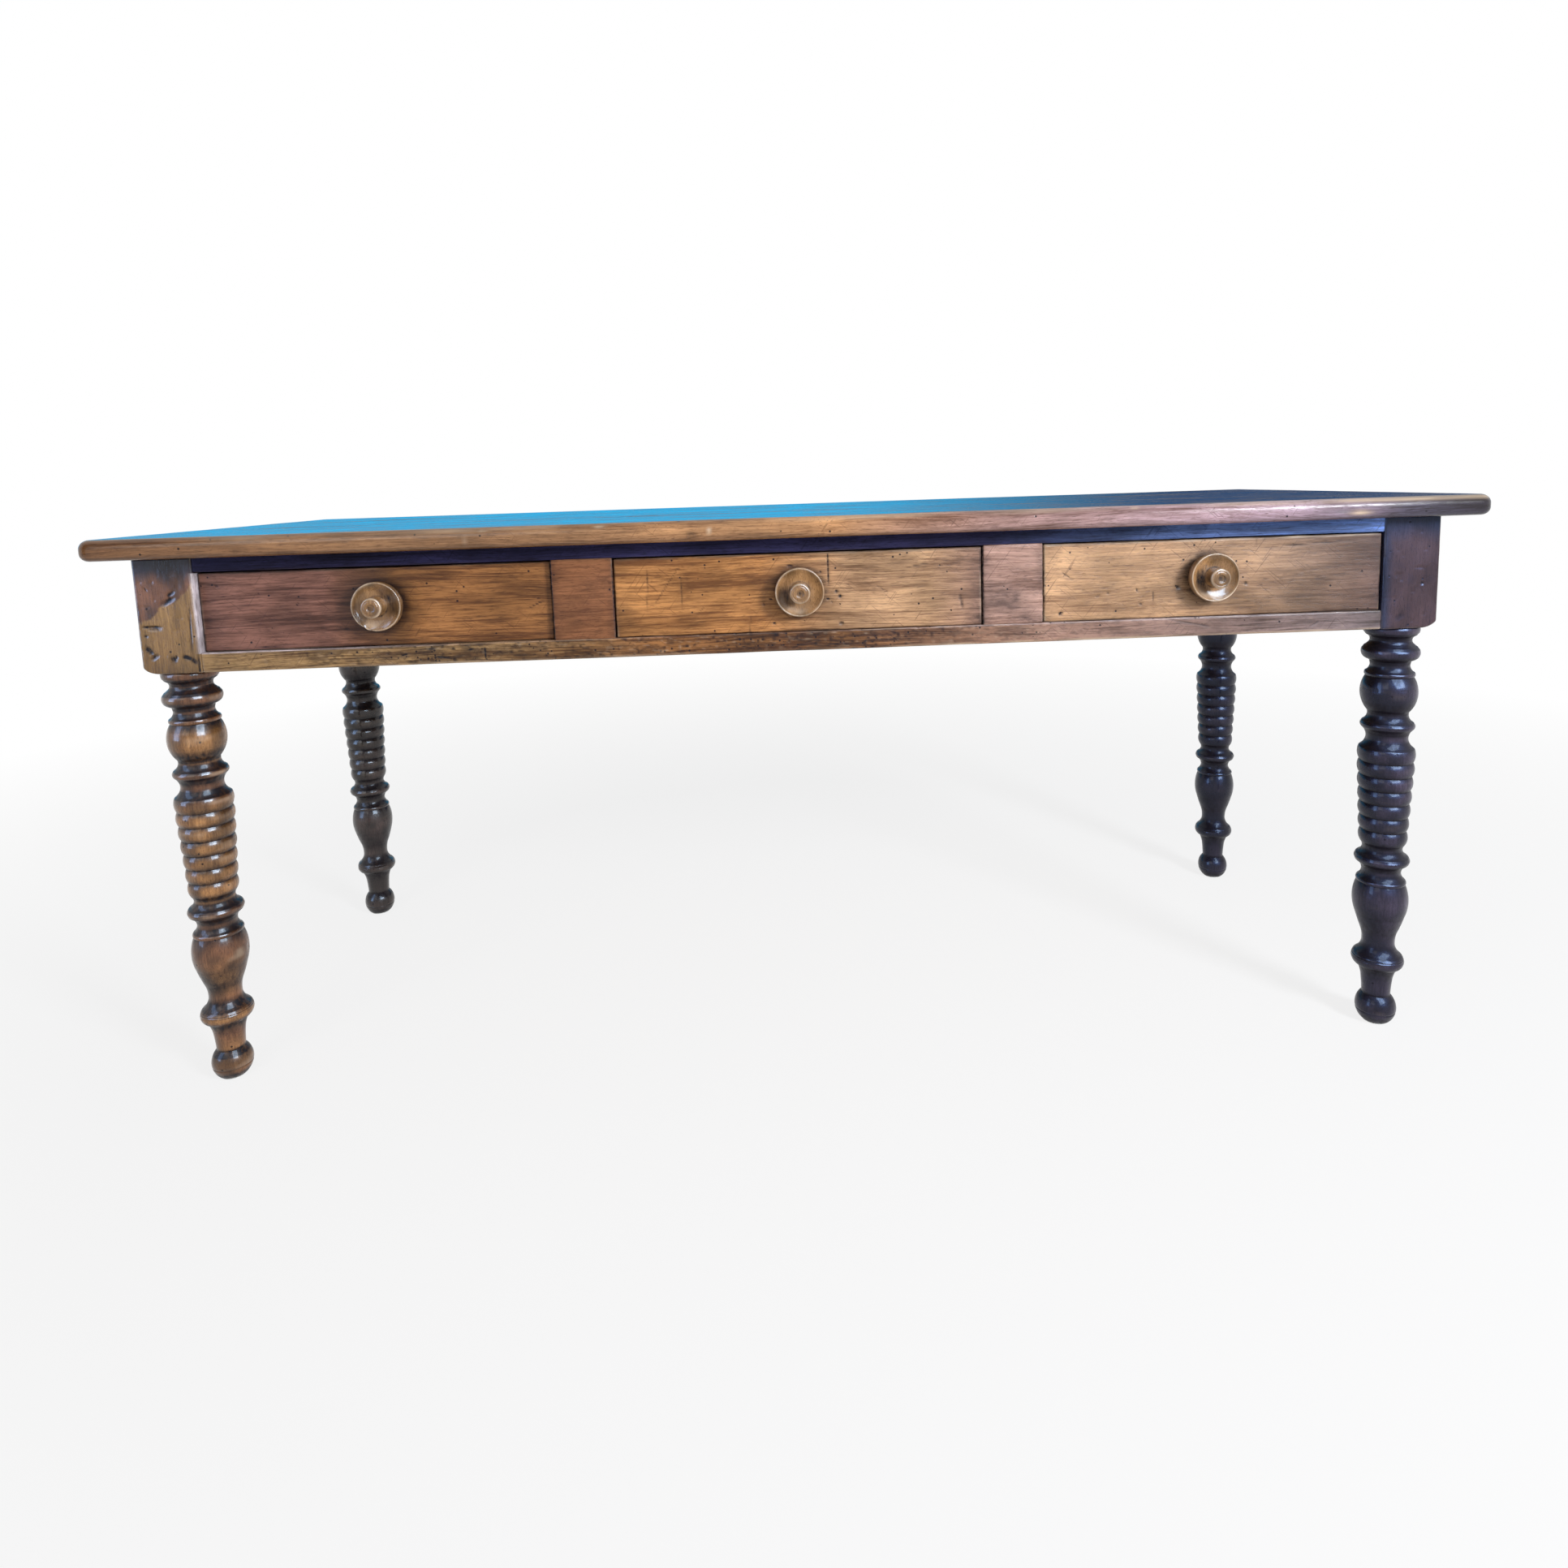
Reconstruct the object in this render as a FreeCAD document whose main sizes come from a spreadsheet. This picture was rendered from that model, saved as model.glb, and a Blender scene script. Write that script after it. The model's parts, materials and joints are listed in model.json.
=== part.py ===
import FreeCAD, Part
import math
import os
import re

import Sketcher

# Farmhouse table with three drawers. Millimetres, +Z up, +X along the length, front towards -Y.
# The origin is on the floor, under the middle of the top.

# Driving sizes
SIZES = {
    # Top: three boards, tongued together, with a rounded nose all round
    "top_length": 1800,
    "top_depth": 700,
    "top_thickness": 27,
    "front_board_width": 240,
    "back_board_width": 225,
    "top_corner_round": 18,
    "nose_lower_round": 10,
    "nose_flat": 5,
    "tongue_height": 9,
    "tongue_reach": 8,
    "tongue_stop": 70,
    "end_overhang": 42,
    "side_overhang": 44,
    # Square blocks at the heads of the legs
    "block_side": 76,
    "block_height": 152,
    # Front frame
    "rail_setback": 1,
    "rail_depth": 62,
    "rail_lift": 0.5,
    "top_rail_height": 20,
    "bottom_rail_height": 25.5,
    "rail_tenon_margin": 4,
    "rail_tenon_inset": 14,
    "rail_tenon_depth": 34,
    "stile_width": 80,
    "stile_thickness": 26,
    "stile_tenon_length": 12,
    "stile_tenon_thickness": 9,
    "stile_tenon_margin": 14,
    "centre_opening": 487,
    # Aprons at the back and the ends
    "apron_thickness": 24,
    "apron_setback": 4,
    "apron_tenon_thickness": 10,
    "apron_tenon_margin": 20,
    "tenon_end_margin": 36,
    "peg_radius": 4,
    "peg_length": 44,
    "end_peg_margin": 45,
    "rear_peg_margin": 62,
    # Runners, guides and kickers
    "runner_height": 22,
    "runner_ledge": 21,
    "runner_tenon_length": 10,
    "runner_tenon_margin": 6,
    "guide_height": 30,
    "guide_gap": 0.6,
    # Buttons that hold the top down, and their screws
    "button_length": 38,
    "button_width": 36,
    "button_height": 20,
    "button_tongue_reach": 10,
    "button_tongue_height": 8,
    "button_screw_inset": 20,
    "side_button_offset": 60,
    "screw_radius": 2.2,
    "screw_bite": 14,
    "screw_head_radius": 4.5,
    "screw_head_height": 3,
    # Drawers
    "drawer_back_space": 60,
    "drawer_side_gap": 1.2,
    "drawer_top_gap": 2.2,
    "drawer_base_gap": 0.5,
    "left_recess": 9,
    "centre_recess": 3,
    "right_recess": 4,
    "front_thickness": 22,
    "side_thickness": 12,
    "side_drop": 13.5,
    "lap_thickness": 7,
    "tail_wide": 22,
    "tail_narrow": 16,
    "back_thickness": 12,
    "back_inset": 14,
    "back_drop": 8,
    "back_tongue_reach": 5,
    "back_tongue_thickness": 6,
    "panel_thickness": 6,
    "panel_lift": 8,
    "panel_groove_depth": 5,
    "nail_radius": 1.2,
    "nail_bite": 12,
    "nail_head_radius": 2.6,
    "nail_head_height": 1,
    "nail_inset": 90,
    "stop_length": 40,
    "stop_depth": 18,
    "stop_clearance": 2,
    "stop_inset": 80,
    "stop_gap": 0.3,
    "knob_shift": 5,
    "knob_rise": 2,
    "knob_screw_radius": 2,
    "knob_screw_bite": 12,
    "knob_screw_head_radius": 5,
    "knob_screw_head_height": 2.5,
    # Feet
    "glide_thickness": 2.5,
    "glide_radius": 16.5,
    # Play left in glued joints
    "fit_gap": 0.15,
}

# Turned leg from the block down: member, shape, height, radius at its lower end, bulge.
COLLAR_TOP_RADIUS = 33
LEG_MEMBERS = (
    ("collar", "bead", 13.5, 30, 3),
    ("collar_neck", "cove", 12.5, 28.6, 3.6),
    ("ring_fillet", "line", 2, 30.6, 0),
    ("ring", "bead", 20, 27.5, 7.2),
    ("ring_neck", "cove", 17.5, 30.6, 4.3),
    ("lip", "bead", 4.5, 31, 0.6),
    ("lip_groove", "line", 1.5, 29.6, 0),
    ("ball", "bead", 50, 25.8, 7.9),
    ("ball_neck", "cove", 14.5, 31.6, 2.6),
    ("disc", "bead", 9.5, 31.7, 2.3),
    ("disc_neck", "cove", 27, 33.4, 6.3),
    ("shoulder_fillet", "line", 1.2, 34.6, 0),
    ("shoulder", "bead", 19, 33.2, 2.1),
)
STACK_RINGS = 6
STACK_PITCH = 20
STACK_TAPER = 0.95
STACK_BULGE = 2.9
LEG_LOWER_MEMBERS = (
    ("stack_neck", "cove", 17, 31.8, 4.2),
    ("lower_disc", "bead", 12, 31.8, 3.1),
    ("lower_neck", "cove", 23.6, 30.4, 6.3),
    ("vase_lip", "bead", 4.4, 31.2, 0.7),
    ("vase_groove", "line", 1.2, 30.4, 0),
    ("vase", "bead", 46.5, 31.6, 4.3),
    ("vase_taper", "bead", 22.4, 24.4, 0.3),
    ("vase_neck", "cove", 19.4, 21, 1),
    ("flare", "cove", 18.2, 29.8, 2.5),
    ("ankle_ring", "bead", 20, 25.4, 5.8),
    ("ankle", "cove", 15.5, 20.4, 0.6),
    ("column", "cove", 26.6, 18.4, 0.3),
    ("foot", "bead", 39, 18.6, 7.9),
)

# Turned knob from the end of its stub to the end of its spigot, in the same terms.
KNOB_MEMBERS = (
    ("stub_eye", "line", 0.5, 3, 0),
    ("stub_face", "bead", 1.5, 11.5, 1.2),
    ("stub_edge", "bead", 2.5, 13.4, 0.5),
    ("stub_flare", "cove", 4, 10.8, 0.4),
    ("stub_neck", "cove", 16, 13, 1.8),
)
KNOB_DISH_RISE = 6.5
KNOB_DISH_RADIUS = 30
KNOB_DISH_BULGE = 1.8
KNOB_RIM_RISE = 0.6
KNOB_RIM_RADIUS = 30.8
KNOB_LOWER_MEMBERS = (
    ("rim", "bead", 2.2, 32, 0.5),
    ("edge", "bead", 11.5, 31, 0.8),
    ("back", "bead", 3.5, 26.5, 1.2),
    ("waist", "line", 1.5, 13, 0),
    ("seat", "cove", 2.5, 15, 0.5),
)
SPIGOT_RADIUS = 6.5
SPIGOT_SKIN = 7


def leg_members():
    """Members of the leg in order, with the stack of rings that narrows towards the foot."""
    last_radius = LEG_MEMBERS[-1][3]
    stack = []
    for ring in range(1, STACK_RINGS + 1):
        radius = last_radius - STACK_TAPER * ring
        stack.append((f"stack_{ring}", "bead", STACK_PITCH, radius, STACK_BULGE))
    return LEG_MEMBERS + tuple(stack) + LEG_LOWER_MEMBERS


def stacked(prefix, members, base):
    """Lower ends, radii and bulges of turned members that stand on a base height."""
    level = base + sum(height for _, _, height, _, _ in members)
    values = {f"{prefix}_head": level}
    for name, _, height, radius, bulge in members:
        level -= height
        values[f"{prefix}_{name}_level"] = level
        values[f"{prefix}_{name}_radius"] = radius
        values[f"{prefix}_{name}_bulge"] = bulge
    return values


def knob_sizes(front_thickness):
    """Levels of the knob, counted from the end of its spigot inside the drawer front."""
    spigot_length = front_thickness - SPIGOT_SKIN
    values = {"spigot_radius": SPIGOT_RADIUS, "spigot_length": spigot_length}
    values.update(stacked("knob", KNOB_LOWER_MEMBERS, spigot_length))
    values["knob_rim_radius_inner"] = KNOB_RIM_RADIUS
    values["knob_rim_top"] = values["knob_head"]
    values["knob_dish_edge_radius"] = KNOB_DISH_RADIUS
    values["knob_dish_edge_level"] = values["knob_rim_top"] - KNOB_RIM_RISE
    values["knob_dish_bulge"] = KNOB_DISH_BULGE
    dish_floor = values["knob_dish_edge_level"] - KNOB_DISH_RISE
    values.update(stacked("stub", KNOB_MEMBERS, dish_floor))
    return values


def worked_out(size):
    """Places and sizes that follow from the driving ones."""
    turned = stacked("leg", leg_members(), size["glide_thickness"])
    place = dict(turned, collar_top_radius=COLLAR_TOP_RADIUS, **knob_sizes(size["front_thickness"]))
    place["block_bottom"] = turned["leg_head"]
    place["under_top"] = place["block_bottom"] + size["block_height"]
    place["table_height"] = place["under_top"] + size["top_thickness"]
    place["nose_upper_round"] = size["top_thickness"] - size["nose_lower_round"] - size["nose_flat"]
    place["tongue_low"] = place["under_top"] + (size["top_thickness"] - size["tongue_height"]) / 2
    place["front_seam"] = size["front_board_width"] - size["top_depth"] / 2
    place["back_seam"] = size["top_depth"] / 2 - size["back_board_width"]
    # Outer and inner faces of the leg blocks
    place["frame_x"] = size["top_length"] / 2 - size["end_overhang"]
    place["frame_y"] = size["top_depth"] / 2 - size["side_overhang"]
    place["block_half"] = size["block_side"] / 2
    place["leg_x"] = place["frame_x"] - place["block_half"]
    place["leg_y"] = place["frame_y"] - place["block_half"]
    place["inner_x"] = place["frame_x"] - size["block_side"]
    place["inner_y"] = place["frame_y"] - size["block_side"]
    place["tenon_length"] = size["block_side"] - size["tenon_end_margin"]
    # Round that the lathe leaves at the lower corners of a block
    place["blank_radius"] = place["block_half"] * math.sqrt(2)
    place["blank_round"] = place["blank_radius"] - place["block_half"]
    place["blank_shoulder"] = place["block_bottom"] + place["blank_round"]
    place["blank_bulge"] = place["blank_round"] * (1 - 1 / math.sqrt(2))
    # Front frame
    place["rail_front"] = place["frame_y"] - size["rail_setback"]
    place["rail_back"] = place["rail_front"] - size["rail_depth"]
    place["frame_bottom"] = place["block_bottom"] + size["rail_lift"]
    place["opening_bottom"] = place["frame_bottom"] + size["bottom_rail_height"]
    place["opening_top"] = place["under_top"] - size["top_rail_height"]
    place["stile_in"] = size["centre_opening"] / 2
    place["stile_out"] = place["stile_in"] + size["stile_width"]
    place["stile_mid"] = (place["stile_in"] + place["stile_out"]) / 2
    place["side_opening"] = place["inner_x"] - place["stile_out"]
    place["side_mid"] = (place["inner_x"] + place["stile_out"]) / 2
    place["centre_quarter"] = place["stile_in"] / 2
    behind_stile = size["rail_depth"] - size["runner_tenon_length"] - size["stile_thickness"]
    place["rail_screw_inset"] = size["stile_thickness"] + behind_stile / 2
    # Inner and outer faces of the aprons
    place["rear_face"] = place["frame_y"] - size["apron_setback"]
    place["rear_inner"] = place["rear_face"] - size["apron_thickness"]
    place["end_face"] = place["frame_x"] - size["apron_setback"]
    place["end_inner"] = place["end_face"] - size["apron_thickness"]
    place["apron_tenon_inset"] = (size["apron_thickness"] - size["apron_tenon_thickness"]) / 2
    # Drawers and what carries them
    place["side_height"] = (
        place["opening_top"] - place["opening_bottom"] - size["side_drop"] - size["drawer_base_gap"]
    )
    place["stop_height"] = size["drawer_base_gap"] + size["panel_lift"] - size["stop_clearance"]
    place["within_inset"] = size["drawer_side_gap"] + size["side_thickness"]
    place["runner_reach"] = place["within_inset"] + size["runner_ledge"]
    return place


sizes = dict(SIZES)
sizes.update(worked_out(sizes))

doc = FreeCAD.newDocument("farmhouse_table")
sheet = doc.addObject("Spreadsheet::Sheet", "sizes")
for row, (alias, value) in enumerate(sizes.items(), start=1):
    sheet.set(f"A{row}", alias.replace("_", " "))
    sheet.set(f"B{row}", repr(value))
    sheet.setAlias(f"B{row}", alias)
doc.recompute()

nodes = []


def in_sheet(formula):
    """Point each size named in a formula at its cell of the sheet."""
    return re.sub(r"[a-z][a-z0-9_]*", lambda word: f"sizes.{word.group()}", formula)


def bind(piece, **formulas):
    """Bind properties of a piece to formulas of named sizes."""
    for name, formula in formulas.items():
        piece.setExpression(name, in_sheet(formula))


def move(piece, x, y, z):
    """Bind the place of a piece to formulas of named sizes."""
    for axis, formula in zip("xyz", (x, y, z)):
        piece.setExpression(f"Placement.Base.{axis}", in_sheet(formula))


def node(label, piece):
    """Name a finished sub-part and keep it for export."""
    piece.Label = label
    nodes.append(piece)
    return piece


def flip(span):
    """The same stretch on the other side of the middle."""
    low, high = span
    return f"-({high})", f"-({low})"


def grow(*spans):
    """Stretches widened by the play that a joint has."""
    return [(f"{low} - fit_gap", f"{high} + fit_gap") for low, high in spans]


def box(name, x, y, z):
    """Board that fills a stretch along each axis."""
    piece = doc.addObject("Part::Box", name)
    lengths = [f"({high}) - ({low})" for low, high in (x, y, z)]
    bind(piece, Length=lengths[0], Width=lengths[1], Height=lengths[2])
    move(piece, x[0], y[0], z[0])
    return piece


def rod(name, radius, length, start, axis="z"):
    """Round bar from a start point along an axis."""
    turns = {"x": ((0, 1, 0), 90), "y": ((1, 0, 0), -90), "z": ((0, 0, 1), 0)}
    around, angle = turns[axis]
    piece = doc.addObject("Part::Cylinder", name)
    turn = FreeCAD.Rotation(FreeCAD.Vector(*around), angle)
    piece.Placement = FreeCAD.Placement(FreeCAD.Vector(), turn)
    bind(piece, Radius=radius, Height=length)
    move(piece, *start)
    return piece


def fuse(name, *pieces):
    """One solid of pieces that touch."""
    piece = doc.addObject("Part::MultiFuse", name)
    piece.Shapes = list(pieces)
    piece.Refine = True
    return piece


def group(name, pieces):
    """Separate solids in one object."""
    piece = doc.addObject("Part::Compound", name)
    piece.Links = list(pieces)
    return piece


def cut(name, base, tools):
    """A base without its tools."""
    piece = doc.addObject("Part::Cut", name)
    piece.Base = base
    piece.Tool = tools[0] if len(tools) == 1 else group(f"{name}_tools", tools)
    return piece


def common(name, base, tool):
    """What two solids share."""
    piece = doc.addObject("Part::Common", name)
    piece.Base = base
    piece.Tool = tool
    return piece


def mirrored(name, source):
    """The same piece on the other side of the table's middle."""
    piece = doc.addObject("Part::Mirroring", name)
    piece.Source = source
    piece.Normal = FreeCAD.Vector(1, 0, 0)
    return piece


def plane(body, role):
    """One of a body's own origin planes."""
    return next(part for part in body.Origin.OriginFeatures if part.Role == role)


def arc_through(start, end, bulge):
    """Arc that bulges to the left of the way from start to end, or to the right if negative."""
    across = end - start
    chord = across.Length
    left = FreeCAD.Vector(-across.y, across.x, 0) / chord
    radius = (chord ** 2 / 4 + bulge ** 2) / (2 * abs(bulge))
    middle = (start + end) / 2
    centre = middle + left * (bulge - math.copysign(radius, bulge))
    first, last = (end, start) if bulge > 0 else (start, end)
    first_angle = math.atan2(first.y - centre.y, first.x - centre.x)
    last_angle = math.atan2(last.y - centre.y, last.x - centre.x)
    if last_angle < first_angle:
        last_angle += 2 * math.pi
    circle = Part.Circle(centre, FreeCAD.Vector(0, 0, 1), radius)
    return Part.ArcOfCircle(circle, first_angle, last_angle)


def pin_point(sketch, curve, end, radius, level):
    """Hold an outline's corner at a named radius and level; none means on the axis or at zero."""
    # In a sketch, line -1 is the flat axis, line -2 the upright one and point 1 of line -1 the origin.
    for kind, name, axis in (("DistanceX", radius, -2), ("DistanceY", level, -1)):
        if name is None:
            sketch.addConstraint(Sketcher.Constraint("PointOnObject", curve, end, axis))
            continue
        held = Sketcher.Constraint(kind, -1, 1, curve, end, sizes[name])
        index = sketch.addConstraint(held)
        sketch.setExpression(f"Constraints[{index}]", in_sheet(name))


def hold_bulge(sketch, curve, start, end, bulge):
    """Hold an arc at the radius that its chord and its bulge give."""
    chord = f"({start[0]} - {end[0]})^2 + ({start[1]} - {end[1]})^2"
    radius = sketch.Geometry[curve].Radius
    index = sketch.addConstraint(Sketcher.Constraint("Radius", curve, radius))
    sketch.setExpression(f"Constraints[{index}]", in_sheet(f"({chord} + 4 * {bulge}^2) / (8 * {bulge})"))


def draw_outline(sketch, corners):
    """Closed half outline of a turning: radius, level, shape and bulge of each corner in order."""
    ends = []
    for index, (radius, level, shape, bulge) in enumerate(corners):
        before = corners[index - 1]
        start = FreeCAD.Vector(sizes.get(before[0], 0), sizes.get(before[1], 0), 0)
        end = FreeCAD.Vector(sizes.get(radius, 0), sizes.get(level, 0), 0)
        if shape == "line":
            curve = sketch.addGeometry(Part.LineSegment(start, end))
            ends.append((curve, 1, 2))
        else:
            sign = 1 if shape == "bead" else -1
            curve = sketch.addGeometry(arc_through(start, end, sign * sizes[bulge]))
            ends.append((curve, 2, 1) if shape == "bead" else (curve, 1, 2))
    for index, (curve, first, last) in enumerate(ends):
        before = ends[index - 1]
        sketch.addConstraint(Sketcher.Constraint("Coincident", before[0], before[2], curve, first))
    for (curve, _, last), (radius, level, _, _) in zip(ends, corners):
        pin_point(sketch, curve, last, radius, level)
    for index, (_, _, shape, bulge) in enumerate(corners):
        if shape != "line":
            hold_bulge(sketch, ends[index][0], corners[index - 1], corners[index], bulge)


def turned(name, corners):
    """Body turned about its own upright axis from a half outline."""
    body = doc.addObject("PartDesign::Body", name)
    sketch = body.newObject("Sketcher::SketchObject", f"{name}_outline")
    sketch.AttachmentSupport = [(plane(body, "XZ_Plane"), "")]
    sketch.MapMode = "FlatFace"
    draw_outline(sketch, corners)
    doc.recompute()
    turning = body.newObject("PartDesign::Revolution", f"{name}_turning")
    turning.Profile = sketch
    turning.ReferenceAxis = (sketch, ["V_Axis"])
    turning.Angle = 360
    doc.recompute()
    return body


def member_corners(prefix, members):
    """Corners of an outline for a list of turned members."""
    corners = []
    for name, shape, _, _, _ in members:
        stem = f"{prefix}_{name}"
        corners.append((f"{stem}_radius", f"{stem}_level", shape, f"{stem}_bulge"))
    return corners


def round_edges(body, name, size, wanted):
    """Round the edges of a body that pass a test."""
    base = body.Tip
    rounding = body.newObject("PartDesign::Fillet", name)
    picked = [f"Edge{i}" for i, edge in enumerate(base.Shape.Edges, start=1) if wanted(edge.BoundBox)]
    rounding.Base = (base, picked)
    bind(rounding, Radius=size)
    doc.recompute()


# Top
REAR_BUTTON_OFFSETS = ("side_mid", "centre_quarter")


def screw_places():
    """Where screws go up into the top: at the buttons and behind the stiles."""
    places = []
    for sign in ("-", ""):
        for offset in REAR_BUTTON_OFFSETS:
            places.append((f"{sign}{offset}", "rear_inner - button_screw_inset"))
        for end in ("-", ""):
            places.append((f"{sign}(end_inner - button_screw_inset)", f"{end}side_button_offset"))
        places.append((f"{sign}stile_mid", "rail_screw_inset - rail_front"))
    return places


def make_top():
    blank = doc.addObject("PartDesign::Body", "top_blank")
    slab = blank.newObject("PartDesign::AdditiveBox", "top_slab")
    bind(slab, Length="top_length", Width="top_depth", Height="top_thickness")
    move(slab, "-top_length / 2", "-top_depth / 2", "under_top")
    doc.recompute()
    upper = sizes["table_height"]
    lower = sizes["under_top"]
    round_edges(blank, "top_corners", "top_corner_round", lambda b: b.ZLength > b.XLength + b.YLength)
    round_edges(blank, "top_nose_upper", "nose_upper_round", lambda b: abs(b.ZMin - upper) < 1e-6)
    round_edges(blank, "top_nose_lower", "nose_lower_round", lambda b: abs(b.ZMax - lower) < 1e-6)

    wide = ("-top_length", "top_length")
    tall = ("0", "2 * table_height")
    tongue_x = ("tongue_stop - top_length / 2", "top_length / 2 - tongue_stop")
    tongue_z = ("tongue_low", "tongue_low + tongue_height")
    front_tongue = (tongue_x, ("front_seam - tongue_reach", "front_seam"), tongue_z)
    back_tongue = (tongue_x, ("back_seam", "back_seam + tongue_reach"), tongue_z)
    pilots = [
        rod(f"top_pilot_{i}", "screw_radius + fit_gap", "screw_bite + fit_gap", (x, y, "under_top"))
        for i, (x, y) in enumerate(screw_places())
    ]

    front = common("front_plank", blank, box("front_slice", wide, ("-top_depth", "front_seam"), tall))
    groove = box("front_groove", *grow(*front_tongue))
    node("top_board_front", cut("front_board", front, [groove] + pilots))

    middle = common("middle_plank", blank, box("middle_slice", wide, ("front_seam", "back_seam"), tall))
    tongues = [box("front_tongue", *front_tongue), box("back_tongue", *back_tongue)]
    node("top_board_middle", cut("middle_board", fuse("middle_tongued", middle, *tongues), pilots))

    back = common("back_plank", blank, box("back_slice", wide, ("back_seam", "top_depth"), tall))
    groove = box("back_groove", *grow(*back_tongue))
    node("top_board_back", cut("back_board", back, [groove] + pilots))


# Joints of the frame: the stretches that tenons fill on the left-hand side
TENON_X = ("-inner_x - tenon_length", "-inner_x")
RAIL_TENON_Y = ("rail_tenon_inset - rail_front", "rail_tenon_inset + rail_tenon_depth - rail_front")
TOP_RAIL_TENON = (
    TENON_X,
    RAIL_TENON_Y,
    ("opening_top + rail_tenon_margin", "under_top - rail_tenon_margin"),
)
BOTTOM_RAIL_TENON = (
    TENON_X,
    RAIL_TENON_Y,
    ("frame_bottom + rail_tenon_margin", "opening_bottom - rail_tenon_margin"),
)
APRON_TENON_Z = ("frame_bottom + apron_tenon_margin", "under_top - apron_tenon_margin")
REAR_TENON = (
    TENON_X,
    ("rear_inner + apron_tenon_inset", "rear_face - apron_tenon_inset"),
    APRON_TENON_Z,
)
END_TENON_X = ("apron_tenon_inset - end_face", "-end_inner - apron_tenon_inset")
END_FRONT_TENON = (END_TENON_X, ("-inner_y - tenon_length", "-inner_y"), APRON_TENON_Z)
END_BACK_TENON = (END_TENON_X, ("inner_y", "inner_y + tenon_length"), APRON_TENON_Z)
END_PEG_LEVELS = ("block_bottom + end_peg_margin", "under_top - end_peg_margin")
REAR_PEG_LEVELS = ("block_bottom + rear_peg_margin", "under_top - rear_peg_margin")


def end_peg_places():
    """Start points of the pegs that cross the left-hand end tenons, along X."""
    across = "inner_y + tenon_length / 2"
    return [("-frame_x", f"{sign}({across})", z) for sign in ("-", "") for z in END_PEG_LEVELS]


def rear_peg_places():
    """Start points of the pegs that cross the left-hand rear tenon, along Y."""
    return [("-inner_x - tenon_length / 2", "frame_y - peg_length", z) for z in REAR_PEG_LEVELS]


def leg_head(name, y_sign):
    """Square block of a left-hand leg, rounded by the lathe at its outer corners."""
    y = (f"{y_sign}leg_y - block_half", f"{y_sign}leg_y + block_half")
    z = ("block_bottom", "under_top")
    blank = turned(f"{name}_round", [
        (None, "under_top", "line", None),
        ("blank_radius", "under_top", "line", None),
        ("blank_radius", "blank_shoulder", "line", None),
        ("block_half", "block_bottom", "bead", "blank_bulge"),
        (None, "block_bottom", "line", None),
    ])
    move(blank, "-leg_x", f"{y_sign}leg_y", "0")
    outer = common(f"{name}_outer", box(f"{name}_outer_half", ("-frame_x", "-leg_x"), y, z), blank)
    inner = box(f"{name}_inner_half", ("-leg_x", "-inner_x"), y, z)
    return fuse(f"{name}_block", outer, inner)


def make_leg(name, y_sign, tenons, peg_rods):
    """Left-hand leg: its block, its turning, and the mortises and peg holes in the block."""
    corners = [(None, "leg_head", "line", None), ("collar_top_radius", "leg_head", "line", None)]
    corners += member_corners("leg", leg_members())
    corners.append((None, "glide_thickness", "line", None))
    stem = turned(f"{name}_stem", corners)
    move(stem, "-leg_x", f"{y_sign}leg_y", "0")
    whole = fuse(f"{name}_whole", stem, leg_head(name, y_sign))
    mortises = [box(f"{name}_mortise_{i}", *grow(*spans)) for i, spans in enumerate(tenons)]
    left = cut(f"{name}_cut", whole, mortises + peg_rods)
    node(f"{name}_left", left)
    node(f"{name}_right", mirrored(f"{name}_mirrored", left))


def peg_rods(name, places, axis, radius):
    """Pegs, or the holes for them, at their start points."""
    return [rod(f"{name}_{i}", radius, "peg_length", start, axis) for i, start in enumerate(places)]


def make_legs():
    hole = "peg_radius + fit_gap"
    end_pegs = end_peg_places()
    front_holes = peg_rods("front_leg_peg_hole", end_pegs[:2], "x", hole)
    back_holes = peg_rods("back_leg_end_hole", end_pegs[2:], "x", hole)
    back_holes += peg_rods("back_leg_rear_hole", rear_peg_places(), "y", hole)
    make_leg("leg_front", "-", [TOP_RAIL_TENON, BOTTOM_RAIL_TENON, END_FRONT_TENON], front_holes)
    make_leg("leg_back", "", [REAR_TENON, END_BACK_TENON], back_holes)

    left_pegs = peg_rods("end_peg", end_pegs, "x", "peg_radius")
    left_pegs += peg_rods("rear_peg", rear_peg_places(), "y", "peg_radius")
    right_pegs = [mirrored(f"{peg.Name}_mirrored", peg) for peg in left_pegs]
    node("tenon_pegs", group("all_pegs", left_pegs + right_pegs))

    glides = []
    for x in ("-leg_x", "leg_x"):
        for y in ("-leg_y", "leg_y"):
            glides.append(rod(f"glide_{len(glides)}", "glide_radius", "glide_thickness", (x, y, "0")))
    node("foot_glides", group("all_glides", glides))


# Front frame
BOARD_X = ("-inner_x", "inner_x")
RAIL_Y = ("-rail_front", "-rail_back")
STILE_X = ("-stile_out", "-stile_in")
STILE_TENON_X = ("stile_tenon_margin - stile_out", "-stile_in - stile_tenon_margin")
STILE_TENON_Y = (
    "(stile_thickness - stile_tenon_thickness) / 2 - rail_front",
    "(stile_thickness + stile_tenon_thickness) / 2 - rail_front",
)
STILE_UPPER_TENON = (STILE_TENON_X, STILE_TENON_Y, ("opening_top", "opening_top + stile_tenon_length"))
STILE_LOWER_TENON = (STILE_TENON_X, STILE_TENON_Y, ("opening_bottom - stile_tenon_length", "opening_bottom"))
# Runners and kickers at the left: the outer pair, then the pair behind the stile
OUTER_X = ("guide_gap - inner_x", "runner_reach - inner_x")
STILE_RUNNER_X = ("-stile_out - runner_reach", "runner_reach - stile_in")
RUNNER_Y = ("-rail_back", "rear_inner")
RUNNER_Z = ("opening_bottom - runner_height", "opening_bottom")
KICKER_Z = ("opening_top", "under_top")


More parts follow.
